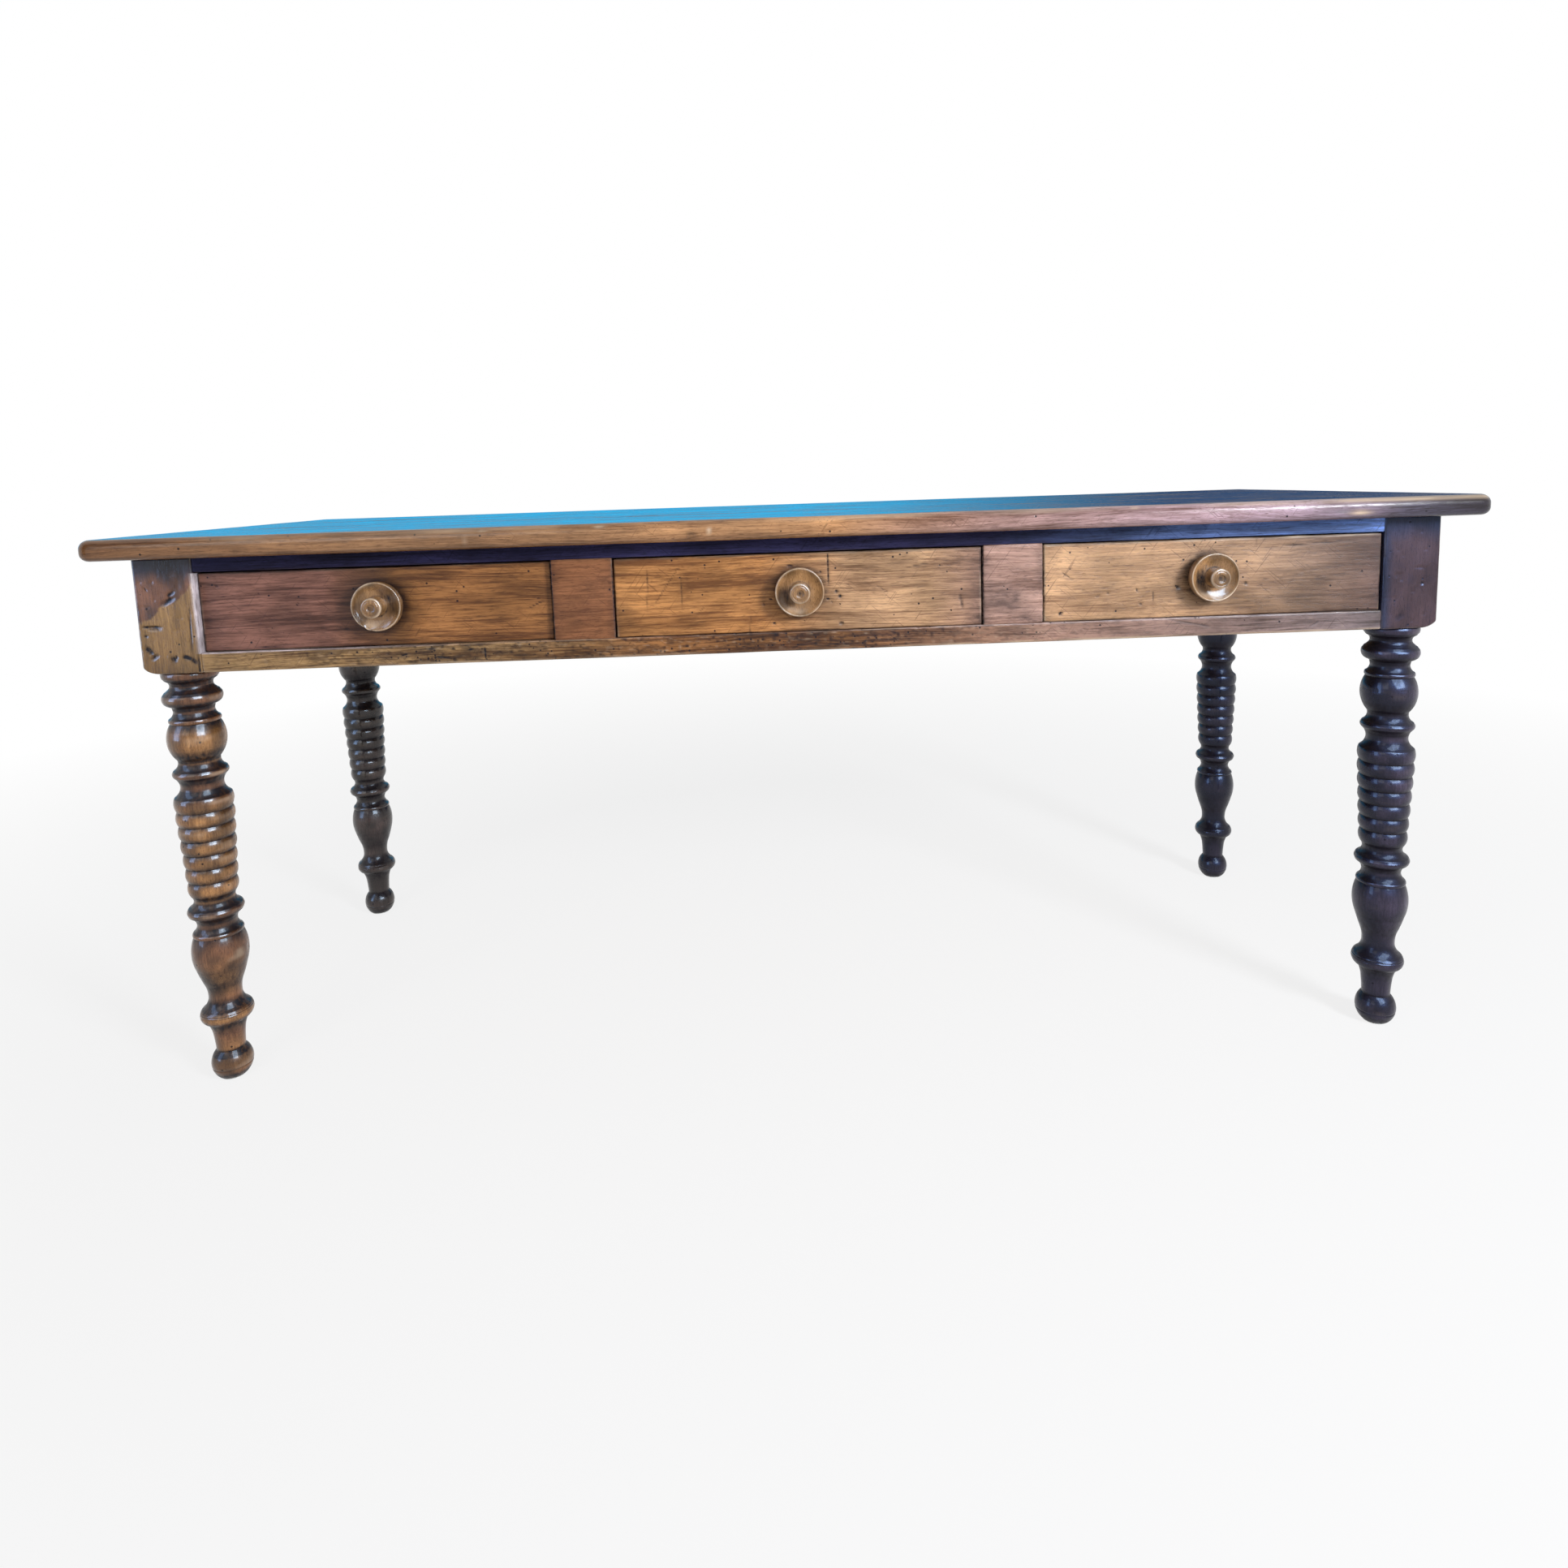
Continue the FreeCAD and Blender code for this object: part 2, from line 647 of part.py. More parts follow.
def stub_tenons(x, z):
    """Stretches of the short tenons at the front and back of a runner or kicker."""
    narrow = (f"{x[0]} + runner_tenon_margin", f"{x[1]} - runner_tenon_margin")
    low = (f"{z[0]} + runner_tenon_margin", f"{z[1]} - runner_tenon_margin")
    front = (narrow, ("-rail_back - runner_tenon_length", "-rail_back"), low)
    back = (narrow, ("rear_inner", "rear_inner + runner_tenon_length"), low)
    return front, back


def both_sides(name, spans):
    """Mortise boxes for a joint and for its mirror image."""
    x, y, z = spans
    left = box(f"{name}_left", *grow(x, y, z))
    right = box(f"{name}_right", *grow(flip(x), y, z))
    return [left, right]


def make_rail(label, z, tenon, stile_tenon, bearer_z, drill):
    """Front rail with a tenon at each end, and mortises for the stiles and the bearers behind it."""
    bar = box(f"{label}_bar", BOARD_X, RAIL_Y, z)
    ends = [box(f"{label}_tenon_left", *tenon), box(f"{label}_tenon_right", flip(tenon[0]), *tenon[1:])]
    mortises = both_sides(f"{label}_stile_mortise", stile_tenon)
    for index, x in enumerate((OUTER_X, STILE_RUNNER_X)):
        mortises += both_sides(f"{label}_bearer_mortise_{index}", stub_tenons(x, bearer_z)[0])
    node(label, cut(f"{label}_cut", fuse(f"{label}_whole", bar, *ends), mortises + drill))


def make_front_frame():
    drill = [
        rod(f"rail_screw_hole_{i}", "screw_radius + fit_gap", "top_rail_height",
            (x, "rail_screw_inset - rail_front", "opening_top"))
        for i, x in enumerate(("-stile_mid", "stile_mid"))
    ]
    make_rail("front_top_rail", KICKER_Z, TOP_RAIL_TENON, STILE_UPPER_TENON, KICKER_Z, drill)
    bottom_z = ("frame_bottom", "opening_bottom")
    make_rail("front_bottom_rail", bottom_z, BOTTOM_RAIL_TENON, STILE_LOWER_TENON, RUNNER_Z, [])

    stile_y = ("-rail_front", "stile_thickness - rail_front")
    board = box("stile_board", STILE_X, stile_y, ("opening_bottom", "opening_top"))
    tenons = [box("stile_upper_tenon", *STILE_UPPER_TENON), box("stile_lower_tenon", *STILE_LOWER_TENON)]
    left = node("stile_left", fuse("stile_whole", board, *tenons))
    node("stile_right", mirrored("stile_mirrored", left))


# Aprons
def rear_button(x):
    """Button on the rear apron: the stretches of its body and of its tongue."""
    across = (f"{x} - button_width / 2", f"{x} + button_width / 2")
    body = (across, ("rear_inner - button_length", "rear_inner"), ("under_top - button_height", "under_top"))
    tongue_z = ("under_top - button_height", "under_top - button_height + button_tongue_height")
    return body, (across, ("rear_inner", "rear_inner + button_tongue_reach"), tongue_z)


def end_button(y):
    """Button on the left-hand end apron, in the same terms."""
    across = (f"{y} - button_width / 2", f"{y} + button_width / 2")
    body = (("-end_inner", "button_length - end_inner"), across, ("under_top - button_height", "under_top"))
    tongue_z = ("under_top - button_height", "under_top - button_height + button_tongue_height")
    return body, (("-end_inner - button_tongue_reach", "-end_inner"), across, tongue_z)


REAR_BUTTONS = [rear_button(f"{sign}{offset}") for sign in ("-", "") for offset in REAR_BUTTON_OFFSETS]
END_BUTTONS = [end_button(f"{sign}side_button_offset") for sign in ("-", "")]


def make_aprons():
    apron_z = ("frame_bottom", "under_top")
    board = box("rear_board", BOARD_X, ("rear_inner", "rear_face"), apron_z)
    x, y, z = REAR_TENON
    tenons = [box("rear_tenon_left", x, y, z), box("rear_tenon_right", flip(x), y, z)]
    rear = fuse("rear_whole", board, *tenons)
    left_holes = peg_rods("rear_peg_hole", rear_peg_places(), "y", "peg_radius + fit_gap")
    holes = left_holes + [mirrored(f"{hole.Name}_mirrored", hole) for hole in left_holes]
    holes += [box(f"rear_slot_{i}", *grow(*tongue)) for i, (_, tongue) in enumerate(REAR_BUTTONS)]
    for bearer_z, bearer in ((RUNNER_Z, "runner"), (KICKER_Z, "kicker")):
        for index, bearer_x in enumerate((OUTER_X, STILE_RUNNER_X)):
            holes += both_sides(f"rear_{bearer}_mortise_{index}", stub_tenons(bearer_x, bearer_z)[1])
    node("rear_apron", cut("rear_cut", rear, holes))

    board = box("end_board", ("-end_face", "-end_inner"), ("-inner_y", "inner_y"), apron_z)
    tenons = [box("end_tenon_front", *END_FRONT_TENON), box("end_tenon_back", *END_BACK_TENON)]
    holes = peg_rods("end_peg_hole", end_peg_places(), "x", "peg_radius + fit_gap")
    holes += [box(f"end_slot_{i}", *grow(*tongue)) for i, (_, tongue) in enumerate(END_BUTTONS)]
    left = node("end_apron_left", cut("end_cut", fuse("end_whole", board, *tenons), holes))
    node("end_apron_right", mirrored("end_mirrored", left))


# Drawer bearers
def make_bearer(label, x, z):
    """Runner or kicker between the front rail and the rear apron, with its mirror image."""
    tenons = [box(f"{label}_tenon_{i}", *spans) for i, spans in enumerate(stub_tenons(x, z))]
    left = node(f"{label}_left", fuse(f"{label}_whole", box(f"{label}_bar", x, RUNNER_Y, z), *tenons))
    node(f"{label}_right", mirrored(f"{label}_mirrored", left))


def make_bearers():
    make_bearer("runner_outer", OUTER_X, RUNNER_Z)
    make_bearer("runner_stile", STILE_RUNNER_X, RUNNER_Z)
    make_bearer("kicker_outer", OUTER_X, KICKER_Z)
    make_bearer("kicker_stile", STILE_RUNNER_X, KICKER_Z)

    batten_z = ("opening_bottom - runner_height", "opening_bottom + guide_height")
    batten = box("guide_outer_bar", ("-end_inner", "guide_gap - inner_x"), ("-inner_y", "inner_y"), batten_z)
    left = node("guide_outer_left", batten)
    node("guide_outer_right", mirrored("guide_outer_mirrored", left))

    strip_x = ("guide_gap - stile_out", "-stile_in - guide_gap")
    strip_z = ("opening_bottom", "opening_bottom + guide_height")
    strip_y = ("stile_thickness - rail_front", "rear_inner")
    left = node("guide_stile_left", box("guide_stile_bar", strip_x, strip_y, strip_z))
    node("guide_stile_right", mirrored("guide_stile_mirrored", left))


# Buttons and screws that hold the top
def make_top_fixings():
    left_buttons = []
    for index, (body, tongue) in enumerate(END_BUTTONS):
        left_buttons.append(fuse(f"end_button_{index}", box(f"end_button_body_{index}", *body),
                                 box(f"end_button_tongue_{index}", *tongue)))
    buttons = left_buttons + [mirrored(f"{button.Name}_mirrored", button) for button in left_buttons]
    for index, (body, tongue) in enumerate(REAR_BUTTONS):
        buttons.append(fuse(f"rear_button_{index}", box(f"rear_button_body_{index}", *body),
                            box(f"rear_button_tongue_{index}", *tongue)))
    drilled = []
    screws = []
    for index, (x, y) in enumerate(screw_places()):
        drilled.append(rod(f"button_hole_{index}", "screw_radius + fit_gap", "button_height",
                           (x, y, "under_top - button_height")))
        seat = "opening_top" if "stile" in x else "under_top - button_height"
        head = rod(f"screw_head_{index}", "screw_head_radius", "screw_head_height",
                   (x, y, f"{seat} - screw_head_height"))
        length = f"under_top - ({seat}) + screw_bite"
        shank = rod(f"screw_shank_{index}", "screw_radius", length, (x, y, seat))
        screws.append(fuse(f"screw_{index}", head, shank))
    node("top_buttons", cut("drilled_buttons", group("all_buttons", buttons), drilled))
    node("top_screws", group("all_screws", screws))


# Drawers: the middle of each, the width of its opening and how far back its front sits
DRAWER_PLACES = {
    "drawer_left": ("-side_mid", "side_opening", "left_recess"),
    "drawer_centre": ("0", "centre_opening", "centre_recess"),
    "drawer_right": ("side_mid", "side_opening", "right_recess"),
}
KNOB_PLACES = {
    "drawer_left": "knob_shift - side_mid",
    "drawer_centre": "0",
    "drawer_right": "side_mid - knob_shift",
}


def knob_corners():
    """Half outline of a knob, from the end of its stub to the end of its spigot."""
    corners = [(None, "stub_head", "line", None)]
    corners += member_corners("stub", KNOB_MEMBERS)
    corners.append(("knob_dish_edge_radius", "knob_dish_edge_level", "cove", "knob_dish_bulge"))
    corners.append(("knob_rim_radius_inner", "knob_rim_top", "line", None))
    corners += member_corners("knob", KNOB_LOWER_MEMBERS)
    corners.append(("spigot_radius", "spigot_length", "line", None))
    corners.append(("spigot_radius", None, "line", None))
    corners.append((None, None, "line", None))
    return corners


def make_knob(name, x, face, z):
    """Knob on a drawer front, its screw, and the holes that they need."""
    knob = turned(f"{name}_knob_body", knob_corners())
    knob.Placement = FreeCAD.Placement(FreeCAD.Vector(), FreeCAD.Rotation(FreeCAD.Vector(1, 0, 0), 90))
    move(knob, x, f"{face} + spigot_length", z)
    inside = f"{face} + front_thickness"
    spigot_hole = rod(f"{name}_spigot_hole", "spigot_radius + fit_gap", "spigot_length + fit_gap",
                      (x, face, z), "y")
    length = "front_thickness - spigot_length + knob_screw_bite"
    start = (x, f"{inside} - ({length})", z)
    shank = rod(f"{name}_knob_shank", "knob_screw_radius", length, start, "y")
    head = rod(f"{name}_knob_head", "knob_screw_head_radius", "knob_screw_head_height", (x, inside, z), "y")
    pilot = rod(f"{name}_knob_pilot", "knob_screw_radius + fit_gap", length, start, "y")
    node(f"{name}_knob", cut(f"{name}_knob_cut", knob, [pilot]))
    node(f"{name}_knob_screw", fuse(f"{name}_knob_screw_whole", head, shank))
    return [spigot_hole, pilot]


def tail(name, x, y, middle, play):
    """Dovetail that widens towards the drawer's face."""
    piece = doc.addObject("Part::Wedge", name)
    half_wide = f"tail_wide / 2 + {play}"
    half_narrow = f"tail_narrow / 2 + {play}"
    bind(piece, Xmin=x[0], Xmax=x[1], X2min=x[0], X2max=x[1], Ymin=y[0], Ymax=y[1])
    bind(piece, Zmin=f"{middle} - ({half_wide})", Zmax=f"{middle} + {half_wide}")
    bind(piece, Z2min=f"{middle} - ({half_narrow})", Z2max=f"{middle} + {half_narrow}")
    return piece


def make_drawer(name, middle, opening, recess, knob_x):
    """Drawer with lapped dovetails at the front, a housed back and a grooved bottom panel."""
    left = f"{middle} - {opening} / 2 + drawer_side_gap"
    right = f"{middle} + {opening} / 2 - drawer_side_gap"
    face = f"{recess} - rail_front"
    inside = f"{face} + front_thickness"
    rear = "rear_inner - drawer_back_space"
    base = "opening_bottom + drawer_base_gap"
    side_top = f"{base} + side_height"
    panel_z = (f"{base} + panel_lift", f"{base} + panel_lift + panel_thickness")
    side_xs = {"left": (left, f"{left} + side_thickness"), "right": (f"{right} - side_thickness", right)}
    within = (side_xs["left"][1], side_xs["right"][0])
    housed = (f"{within[0]} - panel_groove_depth", f"{within[1]} + panel_groove_depth")
    tail_y = (f"{face} + lap_thickness", inside)
    tail_levels = [f"{base} + side_height * {step} / 6" for step in (1, 3, 5)]

    # Bottom panel, with a lip that enters the front between the sides
    panel_main = (housed, (inside, rear), panel_z)
    panel_lip = (within, (f"{inside} - panel_groove_depth", inside), panel_z)
    # Back, with tongues housed in the sides
    back_y = (f"{rear} - back_inset - back_thickness", f"{rear} - back_inset")
    back_z = (panel_z[1], f"{side_top} - back_drop")
    tongue_y = (f"{back_y[0]} + (back_thickness - back_tongue_thickness) / 2",
                f"{back_y[1]} - (back_thickness - back_tongue_thickness) / 2")
    back_tongues = (f"{within[0]} - back_tongue_reach", f"{within[1]} + back_tongue_reach")
    # Nails up through the panel into the back
    nail_y = f"{back_y[0]} + back_thickness / 2"
    nail_xs = [f"{within[0]} + nail_inset", middle, f"{within[1]} - nail_inset"]
    nail_holes = [rod(f"{name}_nail_hole_{i}", "nail_radius + fit_gap", "panel_thickness + nail_bite",
                      (x, nail_y, panel_z[0])) for i, x in enumerate(nail_xs)]

    front_z = (base, "opening_top - drawer_top_gap")
    front = box(f"{name}_front_board", (left, right), (face, inside), front_z)
    sockets = [box(f"{name}_lip_groove", *grow(*panel_lip))]
    for hand, x in side_xs.items():
        wide_x = grow(x)[0]
        for index, level in enumerate(tail_levels):
            sockets.append(tail(f"{name}_{hand}_socket_{index}", wide_x, tail_y, level, "fit_gap"))
    knob_z = f"({base} + opening_top - drawer_top_gap) / 2 + knob_rise"
    sockets += make_knob(name, knob_x, face, knob_z)
    node(f"{name}_front", cut(f"{name}_front_cut", front, sockets))

    for hand, x in side_xs.items():
        board = box(f"{name}_{hand}_board", x, (inside, rear), (base, side_top))
        tails = [tail(f"{name}_{hand}_tail_{i}", x, tail_y, level, "0")
                 for i, level in enumerate(tail_levels)]
        whole = fuse(f"{name}_{hand}_whole", board, *tails)
        groove = box(f"{name}_{hand}_groove", *grow(*panel_main))
        housing = box(f"{name}_{hand}_housing", *grow(back_tongues, tongue_y, (back_z[0], side_top)))
        node(f"{name}_side_{hand}", cut(f"{name}_{hand}_cut", whole, [groove, housing]))

    back_board = box(f"{name}_back_board", within, back_y, back_z)
    back_tongue = box(f"{name}_back_tongue", back_tongues, tongue_y, back_z)
    back = fuse(f"{name}_back_whole", back_board, back_tongue)
    node(f"{name}_back", cut(f"{name}_back_cut", back, nail_holes))

    panel_pieces = [box(f"{name}_panel_main", *panel_main), box(f"{name}_panel_lip", *panel_lip)]
    panel = fuse(f"{name}_panel", *panel_pieces)
    node(f"{name}_bottom", cut(f"{name}_panel_cut", panel, nail_holes))
    nails = []
    for index, x in enumerate(nail_xs):
        shank = rod(f"{name}_nail_shank_{index}", "nail_radius", "panel_thickness + nail_bite",
                    (x, nail_y, panel_z[0]))
        head = rod(f"{name}_nail_head_{index}", "nail_head_radius", "nail_head_height",
                   (x, nail_y, f"{panel_z[0]} - nail_head_height"))
        nails.append(fuse(f"{name}_nail_{index}", head, shank))
    node(f"{name}_nails", group(f"{name}_all_nails", nails))


def make_stops():
    """Blocks on the bottom rail that each drawer's front comes to rest against."""
    stops = []
    z = ("opening_bottom", "opening_bottom + stop_height")
    for middle, opening, recess in DRAWER_PLACES.values():
        left = f"{middle} - {opening} / 2 + within_inset + stop_inset"
        right = f"{middle} + {opening} / 2 - within_inset - stop_inset"
        front = f"{recess} - rail_front + front_thickness + stop_gap"
        y = (front, f"{front} + stop_depth")
        stops.append(box(f"stop_{len(stops)}", (left, f"{left} + stop_length"), y, z))
        stops.append(box(f"stop_{len(stops)}", (f"{right} - stop_length", right), y, z))
    node("drawer_stops", group("all_stops", stops))


def check_and_export():
    """Stop at the first object that failed, then write each sub-part to its own file."""
    doc.recompute()
    for piece in doc.Objects:
        if "Invalid" in piece.State or "Error" in piece.State:
            raise RuntimeError(f"{piece.Name} failed: {piece.State}")
    for piece in nodes:
        if piece.Shape.isNull() or not piece.Shape.isValid() or not piece.Shape.Solids:
            raise RuntimeError(f"{piece.Label} has no valid solid")
    os.makedirs("parts", exist_ok=True)
    for piece in nodes:
        piece.Shape.exportStep(f"parts/{piece.Label}.step")
    print(f"{len(nodes)} sub-parts, table height {sizes['table_height']:.1f} mm")


make_top()
make_legs()
make_front_frame()
make_aprons()
make_bearers()
make_top_fixings()
for drawer, place in DRAWER_PLACES.items():
    make_drawer(drawer, *place, KNOB_PLACES[drawer])
make_stops()
check_and_export()
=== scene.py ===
"""Looks of a farmhouse table with three drawers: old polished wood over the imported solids."""

import json
import math
from types import SimpleNamespace

import bpy
import numpy as np
from mathutils import Matrix, Vector

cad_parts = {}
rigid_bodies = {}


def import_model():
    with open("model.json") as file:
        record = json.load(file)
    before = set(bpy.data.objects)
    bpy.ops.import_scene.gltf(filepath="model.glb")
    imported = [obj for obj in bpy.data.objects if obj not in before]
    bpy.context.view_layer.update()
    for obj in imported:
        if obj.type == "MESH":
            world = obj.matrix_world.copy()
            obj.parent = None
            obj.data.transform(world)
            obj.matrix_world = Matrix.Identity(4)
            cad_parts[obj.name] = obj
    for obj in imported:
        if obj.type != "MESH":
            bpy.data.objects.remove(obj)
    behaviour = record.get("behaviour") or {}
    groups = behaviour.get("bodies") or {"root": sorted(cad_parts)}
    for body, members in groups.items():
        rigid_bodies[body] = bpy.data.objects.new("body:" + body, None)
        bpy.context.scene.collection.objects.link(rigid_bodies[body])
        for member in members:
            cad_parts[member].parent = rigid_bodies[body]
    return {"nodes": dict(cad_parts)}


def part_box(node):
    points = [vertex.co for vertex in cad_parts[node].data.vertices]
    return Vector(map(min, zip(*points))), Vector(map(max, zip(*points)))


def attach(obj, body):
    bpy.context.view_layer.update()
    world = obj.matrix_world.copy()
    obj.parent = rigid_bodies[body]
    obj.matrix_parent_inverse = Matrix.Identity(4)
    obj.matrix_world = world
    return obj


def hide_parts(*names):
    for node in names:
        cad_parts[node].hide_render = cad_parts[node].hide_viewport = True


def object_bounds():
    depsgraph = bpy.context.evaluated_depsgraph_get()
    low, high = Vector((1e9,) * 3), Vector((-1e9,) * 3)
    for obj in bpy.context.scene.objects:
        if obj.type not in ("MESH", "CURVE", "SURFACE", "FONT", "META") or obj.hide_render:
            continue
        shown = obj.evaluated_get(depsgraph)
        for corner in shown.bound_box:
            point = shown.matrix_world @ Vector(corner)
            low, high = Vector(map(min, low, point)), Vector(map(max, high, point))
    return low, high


bl_info = {
    "name": "Farmhouse table",
    "version": (1, 0, 0),
    "blender": (4, 5, 0),
    "location": "3D View > Sidebar > Table",
    "description": "Dresses the solids of a farmhouse table in old polished wood",
    "category": "Object",
}

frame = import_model()
SOLID_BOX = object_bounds()
MM = 0.001
TINY = 1e-9

# Turned leg from its block down: member, shape, height, radius at its lower end, bulge, in millimetres.
BLOCK_WIDTH = 76
BLOCK_HEIGHT = 152
COLLAR_TOP_RADIUS = 33
UPPER_LEG = (
    ("collar", "bead", 13.5, 30, 3),
    ("collar_neck", "cove", 12.5, 28.6, 3.6),
    ("ring_fillet", "line", 2, 30.6, 0),
    ("ring", "bead", 20, 27.5, 7.2),
    ("ring_neck", "cove", 17.5, 30.6, 4.3),
    ("lip", "bead", 4.5, 31, 0.6),
    ("lip_groove", "line", 1.5, 29.6, 0),
    ("ball", "bead", 50, 25.8, 7.9),
    ("ball_neck", "cove", 14.5, 31.6, 2.6),
    ("disc", "bead", 9.5, 31.7, 2.3),
    ("disc_neck", "cove", 27, 33.4, 6.3),
    ("shoulder_fillet", "line", 1.2, 34.6, 0),
    ("shoulder", "bead", 19, 33.2, 2.1),
)
STACK = tuple((f"stack_{ring}", "bead", 20, 33.2 - 0.95 * ring, 2.9) for ring in range(1, 7))
LOWER_LEG = (
    ("stack_neck", "cove", 17, 31.8, 4.2),
    ("lower_disc", "bead", 12, 31.8, 3.1),
    ("lower_neck", "cove", 23.6, 30.4, 6.3),
    ("vase_lip", "bead", 4.4, 31.2, 0.7),
    ("vase_groove", "line", 1.2, 30.4, 0),
    ("vase", "bead", 46.5, 31.6, 4.3),
    ("vase_taper", "bead", 22.4, 24.4, 0.3),
    ("vase_neck", "cove", 19.4, 21, 1),
    ("flare", "cove", 18.2, 29.8, 2.5),
    ("ankle_ring", "bead", 20, 25.4, 5.8),
    ("ankle", "cove", 15.5, 20.4, 0.6),
    ("column", "cove", 26.6, 18.4, 0.3),
    ("foot", "bead", 39, 18.6, 7.9),
)
LEG_MEMBERS = UPPER_LEG + STACK + LOWER_LEG
# Lines cut into the members with the tip of the tool: member, share of its height from its top, depth.
LEG_LINES = (
    ("collar", 0.82, 0.7),
    ("ring", 0.16, 0.6),
    ("ring_neck", 0.12, 0.6),
    ("disc", 0.2, 0.5),
    ("lower_disc", 0.25, 0.6),
    ("lower_disc", 0.72, 0.5),
    ("ankle_ring", 0.22, 0.8),
    ("ankle_ring", 0.34, 0.6),
    ("foot", 0.62, 0.7),
)

# How far the hidden end of a turned piece is closed inside the piece that carries it, in millimetres.
HIDDEN_CAP = 0.5

# Half outline of a knob from its eye: shape, radius, height above the drawer's face, bulge.
KNOB_OUTLINE = (
    ("line", 0, 36.6, 0),
    ("cove", 4.4, 36.8, 0.1),
    ("line", 5.2, 38.0, 0),
    ("bead", 9.2, 37.9, 0.2),
    ("line", 9.7, 37.4, 0),
    ("line", 10.2, 37.6, 0),
    ("bead", 13.4, 34.1, 1.1),
    ("cove", 10.8, 30.1, 0.4),
    ("cove", 13.2, 15.2, 1.8),
    ("cove", 30.0, 20.6, 1.8),
    ("bead", 31.2, 21.1, 0.3),
    ("bead", 32, 19, 0.4),
    ("bead", 32, 15.4, 0.2),
    ("line", 31.3, 14.8, 0),
    ("line", 32, 14.2, 0),
    ("bead", 31, 7.5, 0.4),
    ("bead", 26.5, 4, 1.2),
    ("line", 13, 2.5, 0),
    ("cove", 15, 0, 0.5),
)

# Least half width of a mark, and what its dirt is multiplied by.
FINEST_MARK = 0.9
MARK_DIRT = 1.35
# Marks on upright faces that look to the front: x, z, half length, half width, turn in degrees, depth, dirt.
LEFT_BLOCK_MARKS = (
    (-812, 686, 5.5, 2.2, 38, 1.4, 0.75),
    (-817, 676.5, 9, 3.2, 27, 1.9, 0.8),
    (-840, 643.5, 11, 1.7, -2, 2.2, 1),
    (-838, 640.5, 9, 2.2, -4, 1.1, 0.45),
    (-849, 632, 2.2, 1.8, 0, 1, 0.8),
    (-847, 612.5, 6.5, 3.4, -52, 1.9, 0.85),
    (-841, 604, 5.5, 2.6, 35, 1.7, 0.8),
    (-817, 600, 3.4, 4.2, 25, 0.9, 0.75),
    (-813, 603, 1.6, 3, -10, 0.8, 0.6),
    (-799, 602, 6, 3, -20, 0.9, 0.85),
    (-790, 597, 5, 3, -45, 0.9, 0.9),
    (-785, 592, 1.6, 13, 0, 0.8, 0.95),
    (-843, 693, 3, 1, -60, 0.7, 0.7),
    (-791, 640, 27, 0.6, 88, 0.5, 0.75),
)
RIGHT_BLOCK_MARKS = (
    (835, 642, 2, 2, 0, 1.2, 1),
    (806, 598, 7, 4, 30, 0.3, 0.6),
)
# Line on the left block between golden wood below and reddish wood above: x and z.
LEFT_BLOCK_LINE = ((-858, 648), (-840, 653), (-837, 657), (-828, 668), (-810, 673), (-798, 683), (-782, 698))
# Places on the front blocks: their lower end, their inner arris, where the painted shade under the top
# starts, and the levels and the back of the left one's whitish cheek, wax with a painted sheen.
BLOCK_FOOT = 583
BLOCK_INNER = 783
LEFT_SHADE_LEVEL = 694
RIGHT_SHADE_LEVEL = 684
CHEEK_LEVELS = (606, 712)
CHEEK_BACK = -285

# Marks on the drawers and the bottom rail, given as those on the blocks.
DRAWER_MARKS = {
    "left": (
        (-758, 693, 1.6, 1.4, 0, 1, 0.9),
        (-705, 682, 1.6, 1.2, 0, 0.8, 0.7),
        (-656, 666, 2.4, 1, 20, 0.7, 0.7),
        (-344, 663, 1.6, 1.4, 0, 1, 1),
        (-346, 655, 11, 0.8, 25, 0.4, 0.6),
        (-600, 632, 9, 0.7, -12, 0.3, 0.5),
        (-430, 640, 14, 0.6, 8, 0.3, 0.4),
        (-690, 612, 26, 1.2, 2, 0.4, 0.6),
    ),
    "centre": (
        (-199, 674, 29, 0.7, 87, 0.3, 0.45),
        (-173, 675, 27, 0.7, 55, 0.3, 0.45),
        (-155, 670, 30, 0.7, 92, 0.3, 0.45),
        (-66, 618, 11, 0.9, 87, 0.4, 0.6),
        (-47, 645, 1.8, 1.6, 0, 1.2, 1),
        (-38, 651, 1.6, 1.3, 0, 1.2, 1),
        (-34, 619, 1.6, 1.6, 0, 1.2, 1),
        (29, 685, 1.5, 1.5, 0, 1.2, 1),
        (38, 649, 1.5, 1.5, 0, 1.2, 1),
        (43, 645, 1.5, 1.5, 0, 1.2, 1),
        (49, 659, 2, 1.8, 0, 1.3, 1),
        (54, 652, 2.6, 1.8, 20, 1.2, 0.9),
        (55, 616, 2.4, 2.2, 0, 1.3, 1),
        (-11, 695, 4, 1.5, 5, 1, 0.9),
        (39, 690, 21, 0.7, 89, 0.5, 0.9),
        (110, 660, 10, 0.7, -35, 0.4, 0.4),
        (215, 640, 2.2, 10, 10, 0.4, 0.5),
        (-130, 640, 9, 0.7, 40, 0.3, 0.4),
        (160, 690, 16, 0.6, 10, 0.3, 0.5),
    ),
    "right": (
        (357, 668, 9, 0.8, -36, 0.4, 0.6),
        (398, 640, 3, 1.3, 30, 0.7, 0.4),
        (412, 643, 2, 1.6, 0, 0.8, 0.6),
        (472, 635, 8, 0.8, 88, 0.5, 0.7),
        (506, 648, 2.6, 2, 20, 1.2, 1),
        (456, 627, 1.8, 1.5, 0, 1, 0.9),
        (451, 646, 1.5, 1.8, 0, 0.9, 0.8),
        (348, 618, 3, 2, 30, 0.9, 0.8),
        (598, 650, 1.8, 1.8, 0, 1.2, 1),
        (610, 705, 8, 0.6, 89, 0.4, 0.8),
        (686, 700.5, 76, 0.5, 3.2, 0.3, 0.5),
        (673, 663, 3, 1.2, 25, 0.5, 0),
        (681, 691, 2.4, 1, 10, 0.4, 0),
    ),
}
